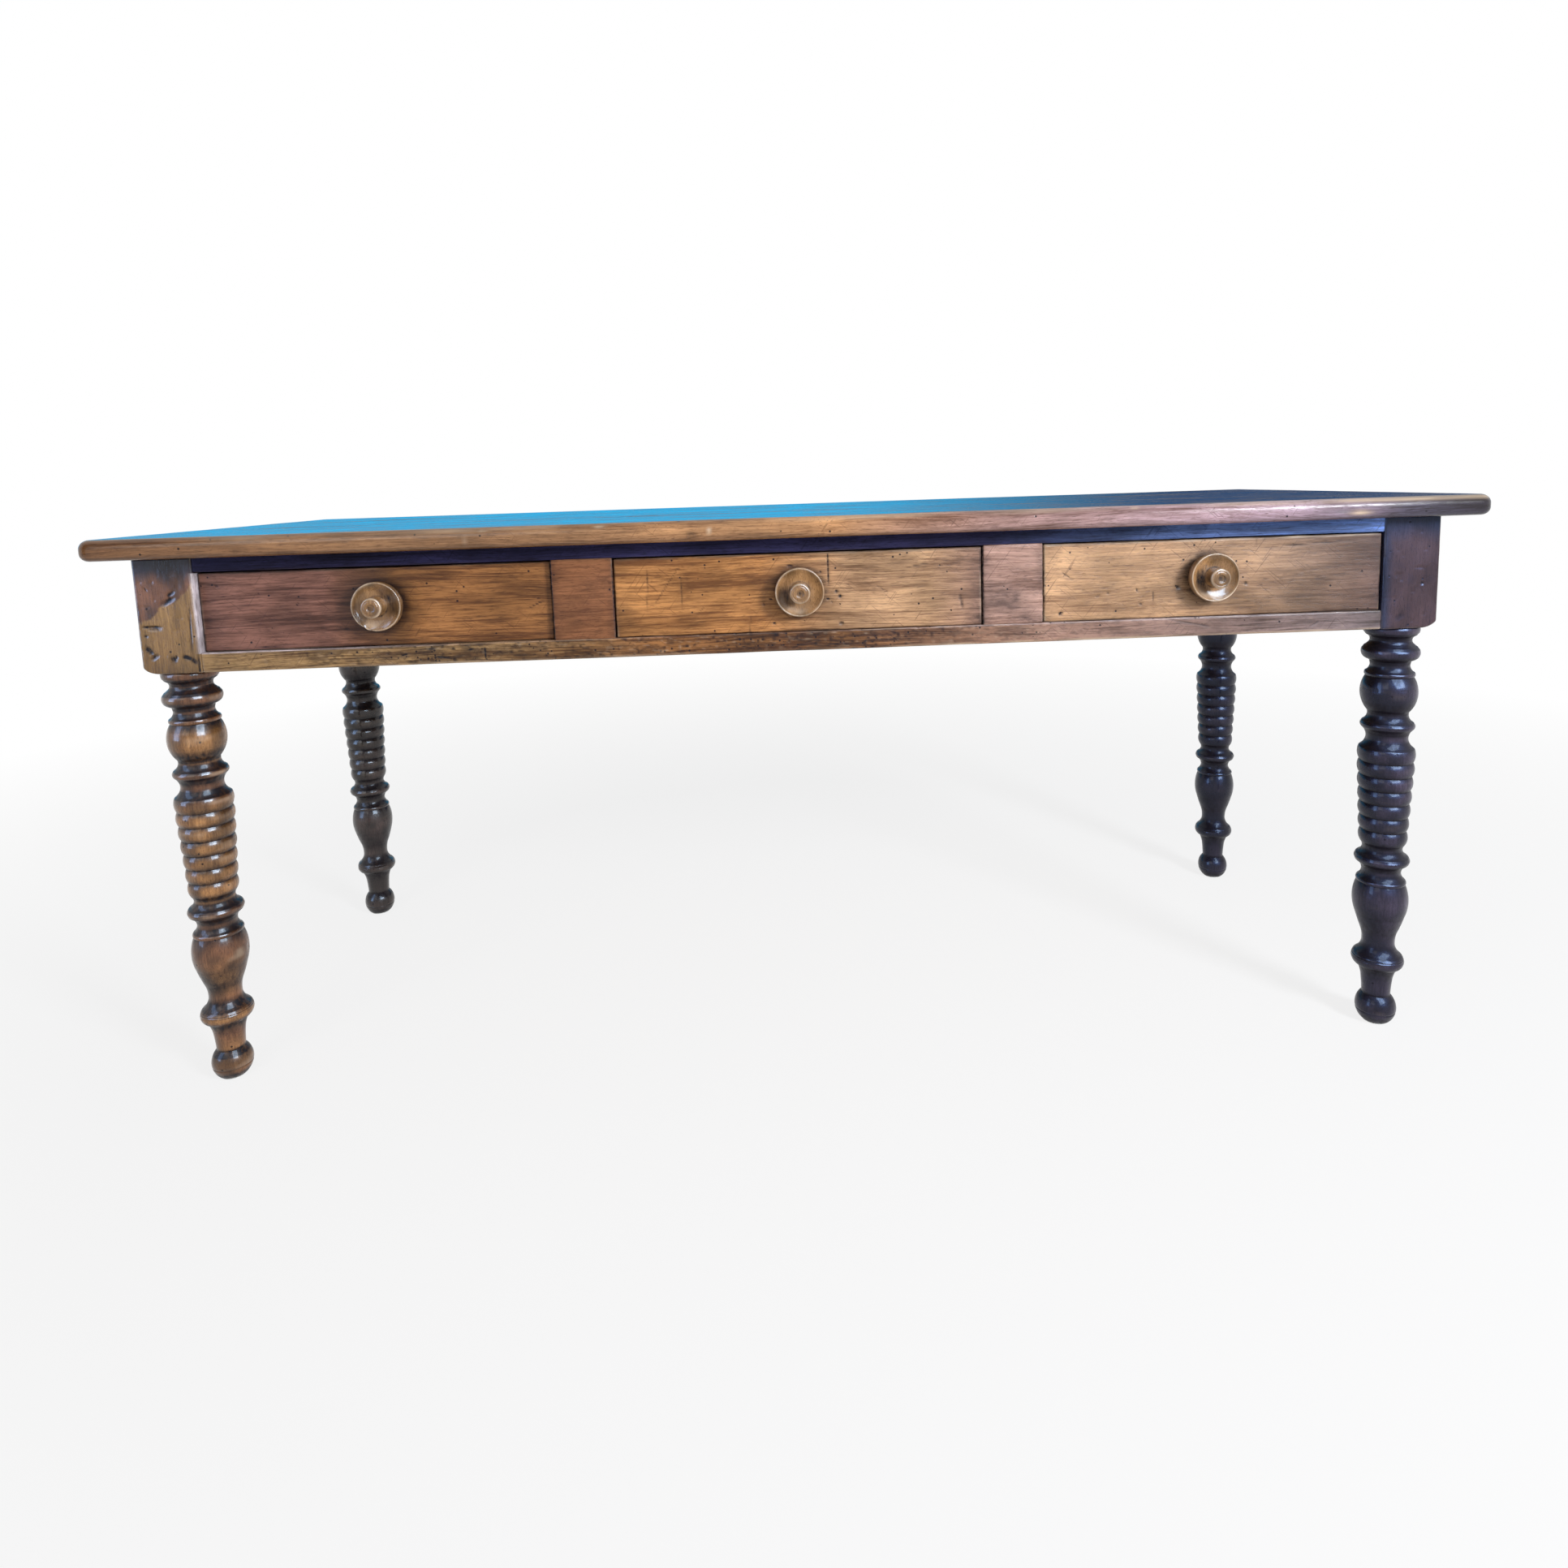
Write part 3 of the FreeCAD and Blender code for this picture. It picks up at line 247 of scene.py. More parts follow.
RAIL_MARKS = (
    (-415, 594, 10, 1, 88, 0.5, 0.8),
    (-520, 595, 8, 1.4, 15, 0.7, 0.9),
    (-470, 590, 10, 1.2, -5, 0.7, 0.9),
    (-490, 602, 14, 1.1, 2, 0.6, 0.9),
    (-430, 600, 9, 1.2, 8, 0.6, 0.9),
    (-620, 600, 6, 1.4, 20, 0.5, 0.6),
    (-60, 590, 12, 1, 60, 0.4, 0.6),
    (20, 596, 16, 1, 15, 0.4, 0.6),
    (330, 596, 9, 0.8, 40, 0.4, 0.6),
    (520, 600, 30, 1.4, -12, 0.3, 0.5),
    (690, 592, 8, 1, 30, 0.4, 0.5),
)
# Lines across the table where the boards of the top meet, in y.
SEAMS = (-110, 125)
# Knocks on the rounded edge of the top: x, z, half length, half height, depth, wear, dirt.
NOSE_MARKS = (
    (-419, 745, 1.6, 5, 0.8, 1, 0),
    (-112, 746, 1.6, 4, 0.7, 1, 0),
    (-134, 741, 9, 5, 0.4, 0, 0.7),
    (-396, 756, 7, 2, 0.9, 0.9, 0),
    (704, 744, 26, 1.6, 1.6, 0, 0.9),
    (722, 741, 12, 2.4, 1.2, 0.8, 0),
    (-700, 740, 5, 3, 0.6, 0, 0.5),
    (250, 739, 4, 2.5, 0.9, 0, 0.6),
    (-250, 756, 6, 1.6, 0.7, 0.8, 0),
    (430, 757, 5, 1.6, 0.8, 0.8, 0),
)

# Polished finishes: contrast of the grain, blotches, roughness, shine, coat of wax, colour of the shine.
POLISHED_FINISHES = {
    "polished_top": (1.4, 0.24, 0.16, 0.42, 0.0, (1, 1, 1)),
    "shaded_rail": (1.3, 0.35, 0.45, 0.06, 0.0, (1, 1, 1)),
    "polished_front": (1.5, 0.32, 0.32, 0.2, 0.06, (1, 1, 1)),
    "polished_leg": (1.1, 0.38, 0.24, 0.2, 0.6, (1, 1, 1)),
    "bluish_leg": (1.0, 0.4, 0.26, 0.25, 0.34, (0.30, 0.48, 1.0)),
    "polished_knob": (0.7, 0.30, 0.24, 0.24, 0.5, (1, 1, 1)),
}
# Bare finishes by the axis that their grain runs along.
BARE_FINISHES = {"bare_lengthways": 0, "bare_crossways": 1}
COAT_ROUGHNESS = 0.1
# What the stain is multiplied by in dark and light grain, in flecks and scratches, and in pores.
DARK_GRAIN = (0.44, 0.36, 0.30, 1)
LIGHT_GRAIN = (1.44, 1.44, 1.42, 1)
DARK_FLECK = (0.30, 0.24, 0.22, 1)
DARK_PORE = (0.36, 0.30, 0.27, 1)
SCRATCH_TURNS = (0.95, -0.7)
WORM_CELLS = 210.0
RUST = (0.11, 0.045, 0.02, 1)
WHITE = (1, 1, 1, 1)
FILL_LIGHT = (0.97, 0.98, 1, 1)
FLOOR_DUST = (0.7, 0.7, 0.7, 1)

# Random spots: start of the draw, how many values are drawn, shift for each seed, and a number for each axis.
SPOT_DRAW = 7
SPOT_VALUES = 4096
SPOT_SHIFT = 17.31
SPOT_KEYS = (73856093, 19349663, 83492791)

# Camera of the photograph: place, directions to its right and ahead, lens and sensor in millimetres, shift.
CAMERA_PLACE = (-0.0349, -1.6060, 0.8065)
CAMERA_RIGHT = (0.99901, -0.03095, -0.03209)
CAMERA_AHEAD = (0.02667, 0.99165, -0.12617)
CAMERA_LENS = 22.835
CAMERA_SENSOR = 36
CAMERA_SHIFT = (-0.01007, -0.11343)


def tint(name, description, default):
    """A colour that a user may change."""
    return bpy.props.FloatVectorProperty(
        name=name, description=description, default=default, size=3, min=0, max=1, subtype="COLOR"
    )


def small_length(name, description, default):
    """A size that a user may change, in metres."""
    return bpy.props.FloatProperty(
        name=name, description=description, default=default, min=0, precision=5, unit="LENGTH"
    )


def amount(name, description, default):
    """A plain strength that a user may change."""
    return bpy.props.FloatProperty(name=name, description=description, default=default, min=0)


class TableFinishes(bpy.types.PropertyGroup):
    """Colours of the wood, the grime and the metal, with painted shade, painted reflection and painted sheen
    among them.
    """

    golden: tint("Golden", "Polished drawer wood where it is bright", (0.40, 0.185, 0.062))
    amber: tint("Amber", "Deeper drawer wood", (0.30, 0.130, 0.042))
    reddish: tint("Reddish", "Dark reddish drawer wood", (0.182, 0.083, 0.060))
    # Pale drawer wood stands partly for a painted sheen on the right of the drawers.
    pale: tint("Pale", "Sun-bleached drawer wood", (0.50, 0.298, 0.160))
    rosy: tint("Rosy", "Wood of the stiles", (0.38, 0.215, 0.155))
    olive: tint("Olive", "Wood of the left block and the bottom rail", (0.32, 0.195, 0.085))
    # The right block's dark cool colour is painted shade.
    shaded_mauve: tint("Mauve", "Dark cool wood of the right block", (0.074, 0.041, 0.040))
    umber: tint("Umber", "Dark wood in the shade", (0.060, 0.034, 0.026))
    walnut: tint("Walnut", "Wood of the top", (0.115, 0.058, 0.027))
    nose: tint("Nose", "Worn edge of the top", (0.36, 0.19, 0.088))
    # A painted bluish reflection, on the top rail, the rounded edge of the top and the right block.
    painted_blue_sheen: tint("Slate", "Bluish wood at the right of the top rail", (0.09, 0.14, 0.33))
    # Painted shade of the top rail and of the left block under the top.
    shaded_navy: tint("Navy", "Dark wood of the top rail in the shade", (0.028, 0.026, 0.076))
    # Whitish wax with a painted sheen on it.
    wax_and_sheen_white: tint("Bloom", "Whitish wax on the cheek and ledge beside the left drawer", (0.56, 0.51, 0.56))
    leg_gold: tint("Leg gold", "Golden wood of the left front leg", (0.36, 0.180, 0.066))
    leg_red: tint("Leg red", "Reddish wood of the left front leg", (0.200, 0.088, 0.042))
    leg_dark: tint("Leg dark", "Dark wood of the turned legs", (0.042, 0.028, 0.026))
    # Painted shade with a painted bluish reflection on the right-hand legs.
    shaded_leg_blue: tint("Leg blue", "Bluish dark wood of the right-hand legs", (0.032, 0.024, 0.040))
    knob: tint("Knob", "Wood of the knobs", (0.335, 0.186, 0.078))
    inner: tint("Inner wood", "Bare wood inside the table", (0.42, 0.270, 0.140))
    # Also paints shade in corners, gaps, creases, knob dishes and under the top.
    dirt_and_shade: tint("Dirt", "Old wax and dirt in the corners", (0.012, 0.009, 0.012))
    # Also paints highlights on leg crests, the top's arris, drawer edges and knob dishes.
    worn: tint("Worn", "Wood worn bare on the edges", (0.62, 0.47, 0.33))
    steel: tint("Steel", "Old screws and nails", (0.16, 0.135, 0.115))
    felt: tint("Felt", "Pads under the feet", (0.72, 0.74, 0.72))


class TableWear(bpy.types.PropertyGroup):
    """Sizes of the wear on the wood."""

    arris: small_length("Arris", "Rounding of the worn edges of the frame", 0.0016)
    block_arris: small_length("Block arris", "Rounding of the worn edges of the leg blocks", 0.0026)
    waviness: small_length("Waviness", "Unevenness of the planed faces", 0.0003)
    edge_loss: small_length("Edge loss", "Deepest loss along a worn edge", 0.0011)
    out_of_round: small_length("Out of round", "Unevenness of the turned pieces", 0.0003)
    seam: small_length("Seam", "Rounding where the top's boards meet", 0.0009)


class TableStage(bpy.types.PropertyGroup):
    """Light and surroundings."""

    floor: tint("Floor", "Colour of the floor", (0.82, 0.82, 0.83))
    key_power: amount("Key power", "Watts of the window-like lamp at the front right", 72)
    soft_power: amount("Soft power", "Watts of the soft lamp at the front left", 15)
    fill: amount("Fill", "Strength of the light from all sides", 0.22)
    sheen_near: tint("Bright blue", "Blue that the polished top mirrors on the left", (0.022, 0.45, 0.82))
    sheen_far: tint("Dark blue", "Blue that the polished top mirrors on the right", (0.012, 0.060, 0.165))
    sheen_side: tint("Window", "Cool white that polished wood mirrors from the right", (0.60, 0.78, 1.0))
    sheen_left: tint("Left window", "Cool white that polished wood mirrors from the left", (0.42, 0.62, 1.0))


def mottle(points, size, seed):
    """Smooth random value from 0 to 1 at each point, in spots of about that size."""
    values = np.random.default_rng(SPOT_DRAW).random(SPOT_VALUES)
    place = points / np.array(size, float) + seed * SPOT_SHIFT
    cell = np.floor(place).astype(np.int64)
    part = place - cell
    part = part * part * (3 - 2 * part)
    total = np.zeros(len(points))
    for corner in np.ndindex(2, 2, 2):
        key = (cell + corner) @ np.array(SPOT_KEYS)
        weight = np.prod(np.where(corner, part, 1 - part), axis=1)
        total += weight * values[key % SPOT_VALUES]
    return total


def uneven(points, size, seed):
    """Smooth random value from -1 to 1 with finer detail on top."""
    coarse = 2 * mottle(points, size, seed) - 1
    fine = 2 * mottle(points, np.array(size) / 2.7, seed + 5) - 1
    return coarse * 0.7 + fine * 0.3


def patches(points, size, seed, gain, drop):
    """Random patches from 0 to 1: more gain makes their edges sharper, more drop makes them fewer."""
    return np.clip(mottle(points, size, seed) * gain - drop, 0, 1)


def weld(points, faces):
    """Joins points that lie in the same place."""
    _, first, same = np.unique(np.round(points, 4), axis=0, return_index=True, return_inverse=True)
    return points[first], same.reshape(-1)[faces]


def sheet_faces(rows, columns, first=0):
    """Quads of a sheet of points laid out in rows and columns."""
    index = np.arange(rows * columns).reshape(rows, columns) + first
    corners = (index[:-1, :-1], index[1:, :-1], index[1:, 1:], index[:-1, 1:])
    return np.stack(corners, -1).reshape(-1, 4)


def directions(points, faces):
    """Outward direction at each point of a closed mesh of quads."""
    corner = points[faces]
    across = np.cross(corner[:, 2] - corner[:, 0], corner[:, 3] - corner[:, 1])
    total = np.zeros_like(points)
    for i in range(4):
        np.add.at(total, faces[:, i], across)
    return total / np.maximum(np.linalg.norm(total, axis=1), TINY)[:, None]


def board_grid(low, high, cells, arris):
    """Points and faces of a board with rounded arrises, in millimetres."""
    low, high = np.array(low, float), np.array(high, float)
    lead = arris * (1 - np.tan(np.radians((45, 30, 15))))
    steps = []
    for axis in range(3):
        count = max(1, round((high[axis] - low[axis] - 2 * arris) / cells[axis]))
        flat = np.linspace(low[axis] + arris, high[axis] - arris, count + 1)
        steps.append(np.concatenate((low[axis] + lead, flat, high[axis] - lead[::-1])))
    points, faces = [], []
    first = 0
    for axis in range(3):
        second, third = (axis + 1) % 3, (axis + 2) % 3
        across, up = np.meshgrid(steps[second], steps[third], indexing="ij")
        for level, turned in ((low[axis], True), (high[axis], False)):
            side = np.empty(across.shape + (3,))
            side[..., axis] = level
            side[..., second] = across
            side[..., third] = up
            quads = sheet_faces(*across.shape, first)
            points.append(side.reshape(-1, 3))
            faces.append(quads[:, ::-1] if turned else quads)
            first += across.size
    points, faces = weld(np.concatenate(points), np.concatenate(faces))
    core = np.clip(points, low + arris, high - arris)
    out = points - core
    out /= np.linalg.norm(out, axis=1)[:, None]
    return core + arris * out, faces


def arc_rows(start, end, bulge, step):
    """Rows of radius and level from one corner of an outline to the next, without the first."""
    start, end = np.array(start, float), np.array(end, float)
    chord = end - start
    length = np.linalg.norm(chord)
    count = max(1, math.ceil(length / step))
    if not bulge:
        return [start + chord * i / count for i in range(1, count + 1)]
    count = max(count, 6)
    along = chord / length
    outward = np.array((-along[1], along[0])) * math.copysign(1, bulge)
    depth = abs(bulge)
    radius = (length ** 2 / 4 + depth ** 2) / (2 * depth)
    half = math.asin(min(1, length / 2 / radius))
    rows = []
    for i in range(1, count + 1):
        angle = half * (2 * i / count - 1)
        sag = radius * math.cos(angle) - (radius - depth)
        rows.append((start + end) / 2 + along * radius * math.sin(angle) + outward * sag)
    return rows


def outline(corners, step):
    """Rows of radius and level along corners of shape, radius, level and bulge."""
    rows = [np.array(corners[0][1:3], float)]
    signs = {"bead": 1, "cove": -1, "line": 0}
    for before, (shape, radius, level, bulge) in zip(corners, corners[1:]):
        rows += arc_rows(before[1:3], (radius, level), signs[shape] * bulge, step)
    return np.array(rows)


def spun(rows, sides):
    """Points and faces of an outline turned round Z, its highest row first, and the row of each point.

    A row on the axis is a single point, which the faces round it name twice.
    """
    counts = np.where(rows[:, 0] > 0, sides, 1)
    start = np.cumsum(counts) - counts
    row_of = np.repeat(np.arange(len(rows)), counts)
    angle = (np.arange(len(row_of)) - start[row_of]) * 2 * math.pi / sides
    radius, level = rows[row_of].T
    points = np.stack((radius * np.cos(angle), radius * np.sin(angle), level), 1)
    index = start[:, None] + np.where(counts[:, None] > 1, np.arange(sides), 0)
    beside = np.roll(index, -1, axis=1)
    faces = np.stack((index[:-1], index[1:], beside[1:], beside[:-1]), -1).reshape(-1, 4)
    return points, faces, row_of


def grained(points, axis, seed):
    """Where each point lies in its own piece of timber, in metres, with the grain along X."""
    order = {"x": (0, 1, 2), "y": (1, 0, 2), "z": (2, 0, 1)}[axis]
    shift = (seed * 0.731, 0.03 + seed * 0.37 % 0.11, 0.04 + seed * 0.53 % 0.09)
    return points[:, order] * MM + np.array(shift)


def along(points, axis, stops):
    """Colour at each point that runs between stops of place and colour along one axis."""
    places = [place for place, _ in stops]
    columns = [np.interp(points[:, axis], places, [colour[i] for _, colour in stops]) for i in range(3)]
    return np.stack(columns, 1)


def toned(stain, share, colour):
    """Stain turned towards a colour by a share at each point."""
    share = share[:, None]
    return stain * (1 - share) + share * colour


def bump_at(value, middle, half):
    """Smooth hump of height 1 round a middle."""
    return np.exp(-(((value - middle) / half) ** 2))


def edge_share(out):
    """1 on the middle of an arris between two faces and 0 on a flat face."""
    return np.clip((1 - np.abs(out).max(axis=1)) / 0.25, 0, 1)


def front_facing(out):
    """1 on a face that looks to the front and 0 on one that looks aside or back."""
    return np.clip(-out[:, 1], 0, 1)


def front_marks(points, out, marks):
    """Depth of gouges and scratches at each point that faces the front, and how dirty they are."""
    facing = front_facing(out) ** 2
    depth, dirt_and_shade = np.zeros((2, len(points)))
    for x, z, long, wide, turn, deep, dark in marks:
        angle = math.radians(turn)
        dx, dz = points[:, 0] - x, points[:, 2] - z
        lengthways = (dx * math.cos(angle) + dz * math.sin(angle)) / long
        sideways = (dz * math.cos(angle) - dx * math.sin(angle)) / max(wide, FINEST_MARK)
        hit = np.exp(-(lengthways ** 4) - np.abs(sideways) ** 3) * facing
        depth = np.maximum(depth, deep * hit)
        dirt_and_shade = np.maximum(dirt_and_shade, MARK_DIRT * dark * hit)
    return depth, dirt_and_shade


def pack_patina_and_light(worm, dirt_and_shade, wear):
    """Packs worm holes, grime with painted shade, and wear with painted highlights, each from 0 to 1, for the
    wood's material.
    """
    return np.clip(np.stack(np.broadcast_arrays(worm, dirt_and_shade, wear), 1), 0, 1)


def put(tree, kind, inputs=None, **settings):
    """A node with settings and with values on its inputs; a value may be another node's output."""
    node = tree.nodes.new(kind)
    for key, value in settings.items():
        setattr(node, key, value)
    for key, value in (inputs or {}).items():
        if isinstance(value, bpy.types.NodeSocket):
            tree.links.new(value, node.inputs[key])
        else:
            node.inputs[key].default_value = value
    return node


def maths(tree, operation, first, second, clamp=False):
    """Output of a sum of two numbers or outputs."""
    return put(tree, "ShaderNodeMath", {0: first, 1: second}, operation=operation, use_clamp=clamp).outputs[0]


def weighted(tree, first, *others):
    """Output of a total of outputs, each times its weight."""
    total = maths(tree, "MULTIPLY", *first)
    for term in others:
        total = maths(tree, "ADD", total, maths(tree, "MULTIPLY", *term))
    return total


def blended(tree, share, first, second, kind="MIX"):
    """Output of two colours mixed by a share."""
    inputs = {0: share, 6: first, 7: second}
    node = put(tree, "ShaderNodeMix", inputs, data_type="RGBA", blend_type=kind, clamp_result=False)
    return node.outputs[2]


def times(tree, colour, factor):
    """Output of a colour multiplied by another."""
    return blended(tree, 1.0, colour, factor, "MULTIPLY")


def spread(tree, value, low, high, to_low=0.0, to_high=1.0):
    """Output of a value moved from one range to another."""
    inputs = {"Value": value, "From Min": low, "From Max": high, "To Min": to_low, "To Max": to_high}
    return put(tree, "ShaderNodeMapRange", inputs, clamp=True).outputs[0]


def stretched(tree, place, scale):
    """Output of a place times a scale along each axis."""
    return put(tree, "ShaderNodeVectorMath", {0: place, 1: scale}, operation="MULTIPLY").outputs[0]


def streaks(tree, place, scale, detail, rough, twist=0.0):
    """Output of a noise stretched along the grain."""
    moved = stretched(tree, place, scale)
    inputs = {"Vector": moved, "Scale": 1.0, "Detail": detail, "Roughness": rough, "Distortion": twist}
    return put(tree, "ShaderNodeTexNoise", inputs).outputs[0]


def attribute(tree, name, kind="Vector"):
    """Output of an attribute that the points of a piece carry."""
    return put(tree, "ShaderNodeAttribute", attribute_name=name).outputs[kind]


def table_place(tree):
    """Output of the place in the table, in metres."""
    return put(tree, "ShaderNodeTexCoord").outputs["Object"]


def rgba(colour):
    """A colour with its fourth number."""
    return (*colour[:3], 1.0)


def empty_tree(owner):
    """The node tree of a material or a world, with nothing in it."""
    owner.use_nodes = True
    owner.node_tree.nodes.clear()
    return owner.node_tree


def fresh_material(name):
    """An empty material, its node tree and its surface shader."""
    material = bpy.data.materials.new(name)
    tree = empty_tree(material)
    shader = put(tree, "ShaderNodeBsdfPrincipled")
    put(tree, "ShaderNodeOutputMaterial", {"Surface": shader.outputs[0]})
    return material, tree, shader


def surfaced(tree, shader, colour, dull, height, strength, distance):
    """Gives a surface shader its colour, its roughness and a bump of some strength and depth."""
    bump = put(tree, "ShaderNodeBump", {"Strength": strength, "Distance": distance, "Height": height})
    for socket, output in (("Base Color", colour), ("Roughness", dull), ("Normal", bump.outputs[0])):
        tree.links.new(output, shader.inputs[socket])


def polished_wood(name, contrast, blotch, gloss, shine, coat, sheen):
    """Old polished wood: its colour, timber place and patina come from the piece's own attributes, which also
    carry painted shade and highlights.
    """
    finishes = bpy.context.scene.table_finishes
    material, tree, shader = fresh_material(name)
    timber, stain, patina = (attribute(tree, label) for label in ("grain", "stain", "patina"))
    worm, dirt_and_shade, wear = put(tree, "ShaderNodeSeparateXYZ", {0: patina}).outputs

    inputs = {"Vector": stretched(tree, timber, (2.5, 9, 9)), "Scale": 1.0, "Detail": 2.0}
    drift = put(tree, "ShaderNodeTexNoise", inputs).outputs[1]
    inputs = {0: drift, 1: (0, 0.03, 0.03), 2: timber}
    place = put(tree, "ShaderNodeVectorMath", inputs, operation="MULTIPLY_ADD").outputs[0]
    figure = streaks(tree, place, (1.7, 19, 19), 4, 0.62, 0.3)
    band = streaks(tree, place, (5, 80, 80), 3, 0.6)
    fibre = streaks(tree, place, (17, 430, 430), 3, 0.6)
    pore = streaks(tree, place, (80, 1500, 1500), 1, 0.5)
    cloud = streaks(tree, timber, (10, 17, 17), 3, 0.55)
    fleck = streaks(tree, timber, (85, 170, 170), 3, 0.6)

    pattern = weighted(tree, (figure, 0.30), (band, 0.32), (fibre, 0.38))
    share = spread(tree, pattern, 0.5 - 0.15 / contrast, 0.5 + 0.15 / contrast)
    calm = attribute(tree, "calm", "Fac")
    share = maths(tree, "ADD", share, maths(tree, "MULTIPLY", calm, maths(tree, "SUBTRACT", 0.5, share)))
    colour = blended(tree, share, times(tree, stain, DARK_GRAIN), times(tree, stain, LIGHT_GRAIN))
    lumps = spread(tree, cloud, 0.36, 0.64, 1 - blotch, 1 + blotch * 0.6)
    lumped = put(tree, "ShaderNodeCombineXYZ", {0: lumps, 1: lumps, 2: lumps}).outputs[0]
    colour = times(tree, colour, lumped)
    darkened = times(tree, stain, DARK_FLECK)
    flecked = spread(tree, fleck, 0.30, 0.42, blotch * 0.9, 0.0)
    colour = blended(tree, flecked, colour, darkened)
    pored = spread(tree, pore, 0.58, 0.68, 0.0, 0.7)
    colour = blended(tree, pored, colour, times(tree, colour, DARK_PORE))
    scratched = 0.0
    for turn in SCRATCH_TURNS:
        inputs = {"Vector": timber, "Angle": turn}
        turned = put(tree, "ShaderNodeVectorRotate", inputs, rotation_type="Y_AXIS").outputs[0]
        line = streaks(tree, turned, (24, 620, 620), 0, 0.5)
        scratched = maths(tree, "MAXIMUM", spread(tree, line, 0.73, 0.78), scratched)
    scratched = maths(tree, "MULTIPLY", scratched, spread(tree, cloud, 0.4, 0.6, 0.0, 0.5))
    colour = blended(tree, scratched, colour, darkened)

    inputs = {"Vector": timber, "Scale": WORM_CELLS, "Randomness": 1.0}
    cells = put(tree, "ShaderNodeTexVoronoi", inputs).outputs
    chance = put(tree, "ShaderNodeSeparateXYZ", {0: cells["Color"]}).outputs[0]
    near = spread(tree, cells["Distance"], 0.26, 0.36, 1.0, 0.0)
    holes = maths(tree, "MULTIPLY", maths(tree, "LESS_THAN", chance, worm), near)
    ragged = spread(tree, fleck, 0.3, 0.66, 0.45, 1.35)
    soiled = maths(tree, "MULTIPLY", dirt_and_shade, ragged, clamp=True)
    soiled = maths(tree, "MAXIMUM", soiled, maths(tree, "MULTIPLY", holes, 0.92))
    # Grime and painted shade darken the colour, and wear and painted highlights turn it to the worn colour.
    colour = blended(tree, soiled, colour, rgba(finishes.dirt_and_shade))
    bare = maths(tree, "MULTIPLY", wear, spread(tree, band, 0.34, 0.6, 0.35, 1.2), clamp=True)
    colour = blended(tree, bare, colour, rgba(finishes.worn))

    dull = spread(tree, cloud, 0.3, 0.7, gloss - 0.05, gloss + 0.09)
    dull = maths(tree, "ADD", dull, maths(tree, "MULTIPLY", maths(tree, "MAXIMUM", bare, soiled), 0.2))
    height = weighted(tree, (fibre, 0.5), (cloud, 0.9), (pored, -0.4), (scratched, -0.5), (holes, -1.6))
    surfaced(tree, shader, colour, dull, height, 0.2, 0.0012)
    shader.inputs["Specular IOR Level"].default_value = shine
    shader.inputs["Specular Tint"].default_value = rgba(sheen)
    dimmed = blended(tree, spread(tree, soiled, 0.0, 0.8, 0.0, 0.6), rgba(sheen), (0, 0, 0, 1))
    tree.links.new(dimmed, shader.inputs["Specular Tint"])
    if coat:
        shader.inputs["Coat Weight"].default_value = coat
        tree.links.new(spread(tree, soiled, 0.0, 0.8, coat, coat * 0.35), shader.inputs["Coat Weight"])
        shader.inputs["Coat Roughness"].default_value = COAT_ROUGHNESS
    return material


def bare_wood(name, grain_axis):
    """Unpolished wood of the hidden pieces, with its grain along one axis of the table."""
    base = np.array(bpy.context.scene.table_finishes.inner)
    material, tree, shader = fresh_material(name)
    place = table_place(tree)
    coarse, fine = (
        tuple(lengthways if axis == grain_axis else across for axis in range(3))
        for lengthways, across in ((3, 60), (14, 420))
    )
    figure = streaks(tree, place, coarse, 5, 0.6, 0.6)
    fibre = streaks(tree, place, fine, 3, 0.6)
    cloud = streaks(tree, place, (7, 7, 7), 3, 0.6)
    share = spread(tree, weighted(tree, (figure, 0.6), (fibre, 0.4)), 0.34, 0.66)
    colour = blended(tree, share, rgba(base * (0.52, 0.46, 0.40)), rgba(np.minimum(base * 1.3, 1)))
    soiled = spread(tree, cloud, 0.5, 0.72, 0.0, 0.5)
    colour = blended(tree, soiled, colour, rgba(base * (0.30, 0.26, 0.22)))
    surfaced(tree, shader, colour, spread(tree, cloud, 0.3, 0.7, 0.62, 0.82), fibre, 0.35, 0.0008)
    shader.inputs["Specular IOR Level"].default_value = 0.3
    return material


def old_steel(name):
    """Dull steel with brown rust."""
    steel = bpy.context.scene.table_finishes.steel
    material, tree, shader = fresh_material(name)
    rust = streaks(tree, table_place(tree), (240, 240, 240), 4, 0.65)
    colour = blended(tree, spread(tree, rust, 0.42, 0.62), rgba(steel), RUST)
    surfaced(tree, shader, colour, spread(tree, rust, 0.35, 0.7, 0.38, 0.75), rust, 0.3, 0.0004)
    shader.inputs["Metallic"].default_value = 0.85
    return material


def glide_felt(name):
    """Pale felt, a little soiled."""
    base = np.array(bpy.context.scene.table_finishes.felt)
    material, tree, shader = fresh_material(name)
    place = table_place(tree)
    hair = streaks(tree, place, (900, 900, 900), 3, 0.7)
    soil = streaks(tree, place, (70, 70, 70), 3, 0.6)
    colour = blended(tree, spread(tree, soil, 0.35, 0.7), rgba(base), rgba(base * (0.72, 0.70, 0.66)))
    colour = blended(tree, spread(tree, hair, 0.4, 0.7, 0.0, 0.25), colour, rgba(base * 0.6))
    surfaced(tree, shader, colour, spread(tree, hair, 0.3, 0.7, 0.85, 1.0), hair, 0.5, 0.0006)
    return material


def finish(name):
    """A material of the table by its name, made when it is first asked for."""
    known = bpy.data.materials.get(name)
    if known and known.get("table_finish"):
        return known
    if name in POLISHED_FINISHES:
        made = polished_wood(name, *POLISHED_FINISHES[name])
    elif name in BARE_FINISHES:
        made = bare_wood(name, BARE_FINISHES[name])
    else:
        made = {"rusted_steel": old_steel, "pale_felt": glide_felt}[name](name)
    made["table_finish"] = True
    return made


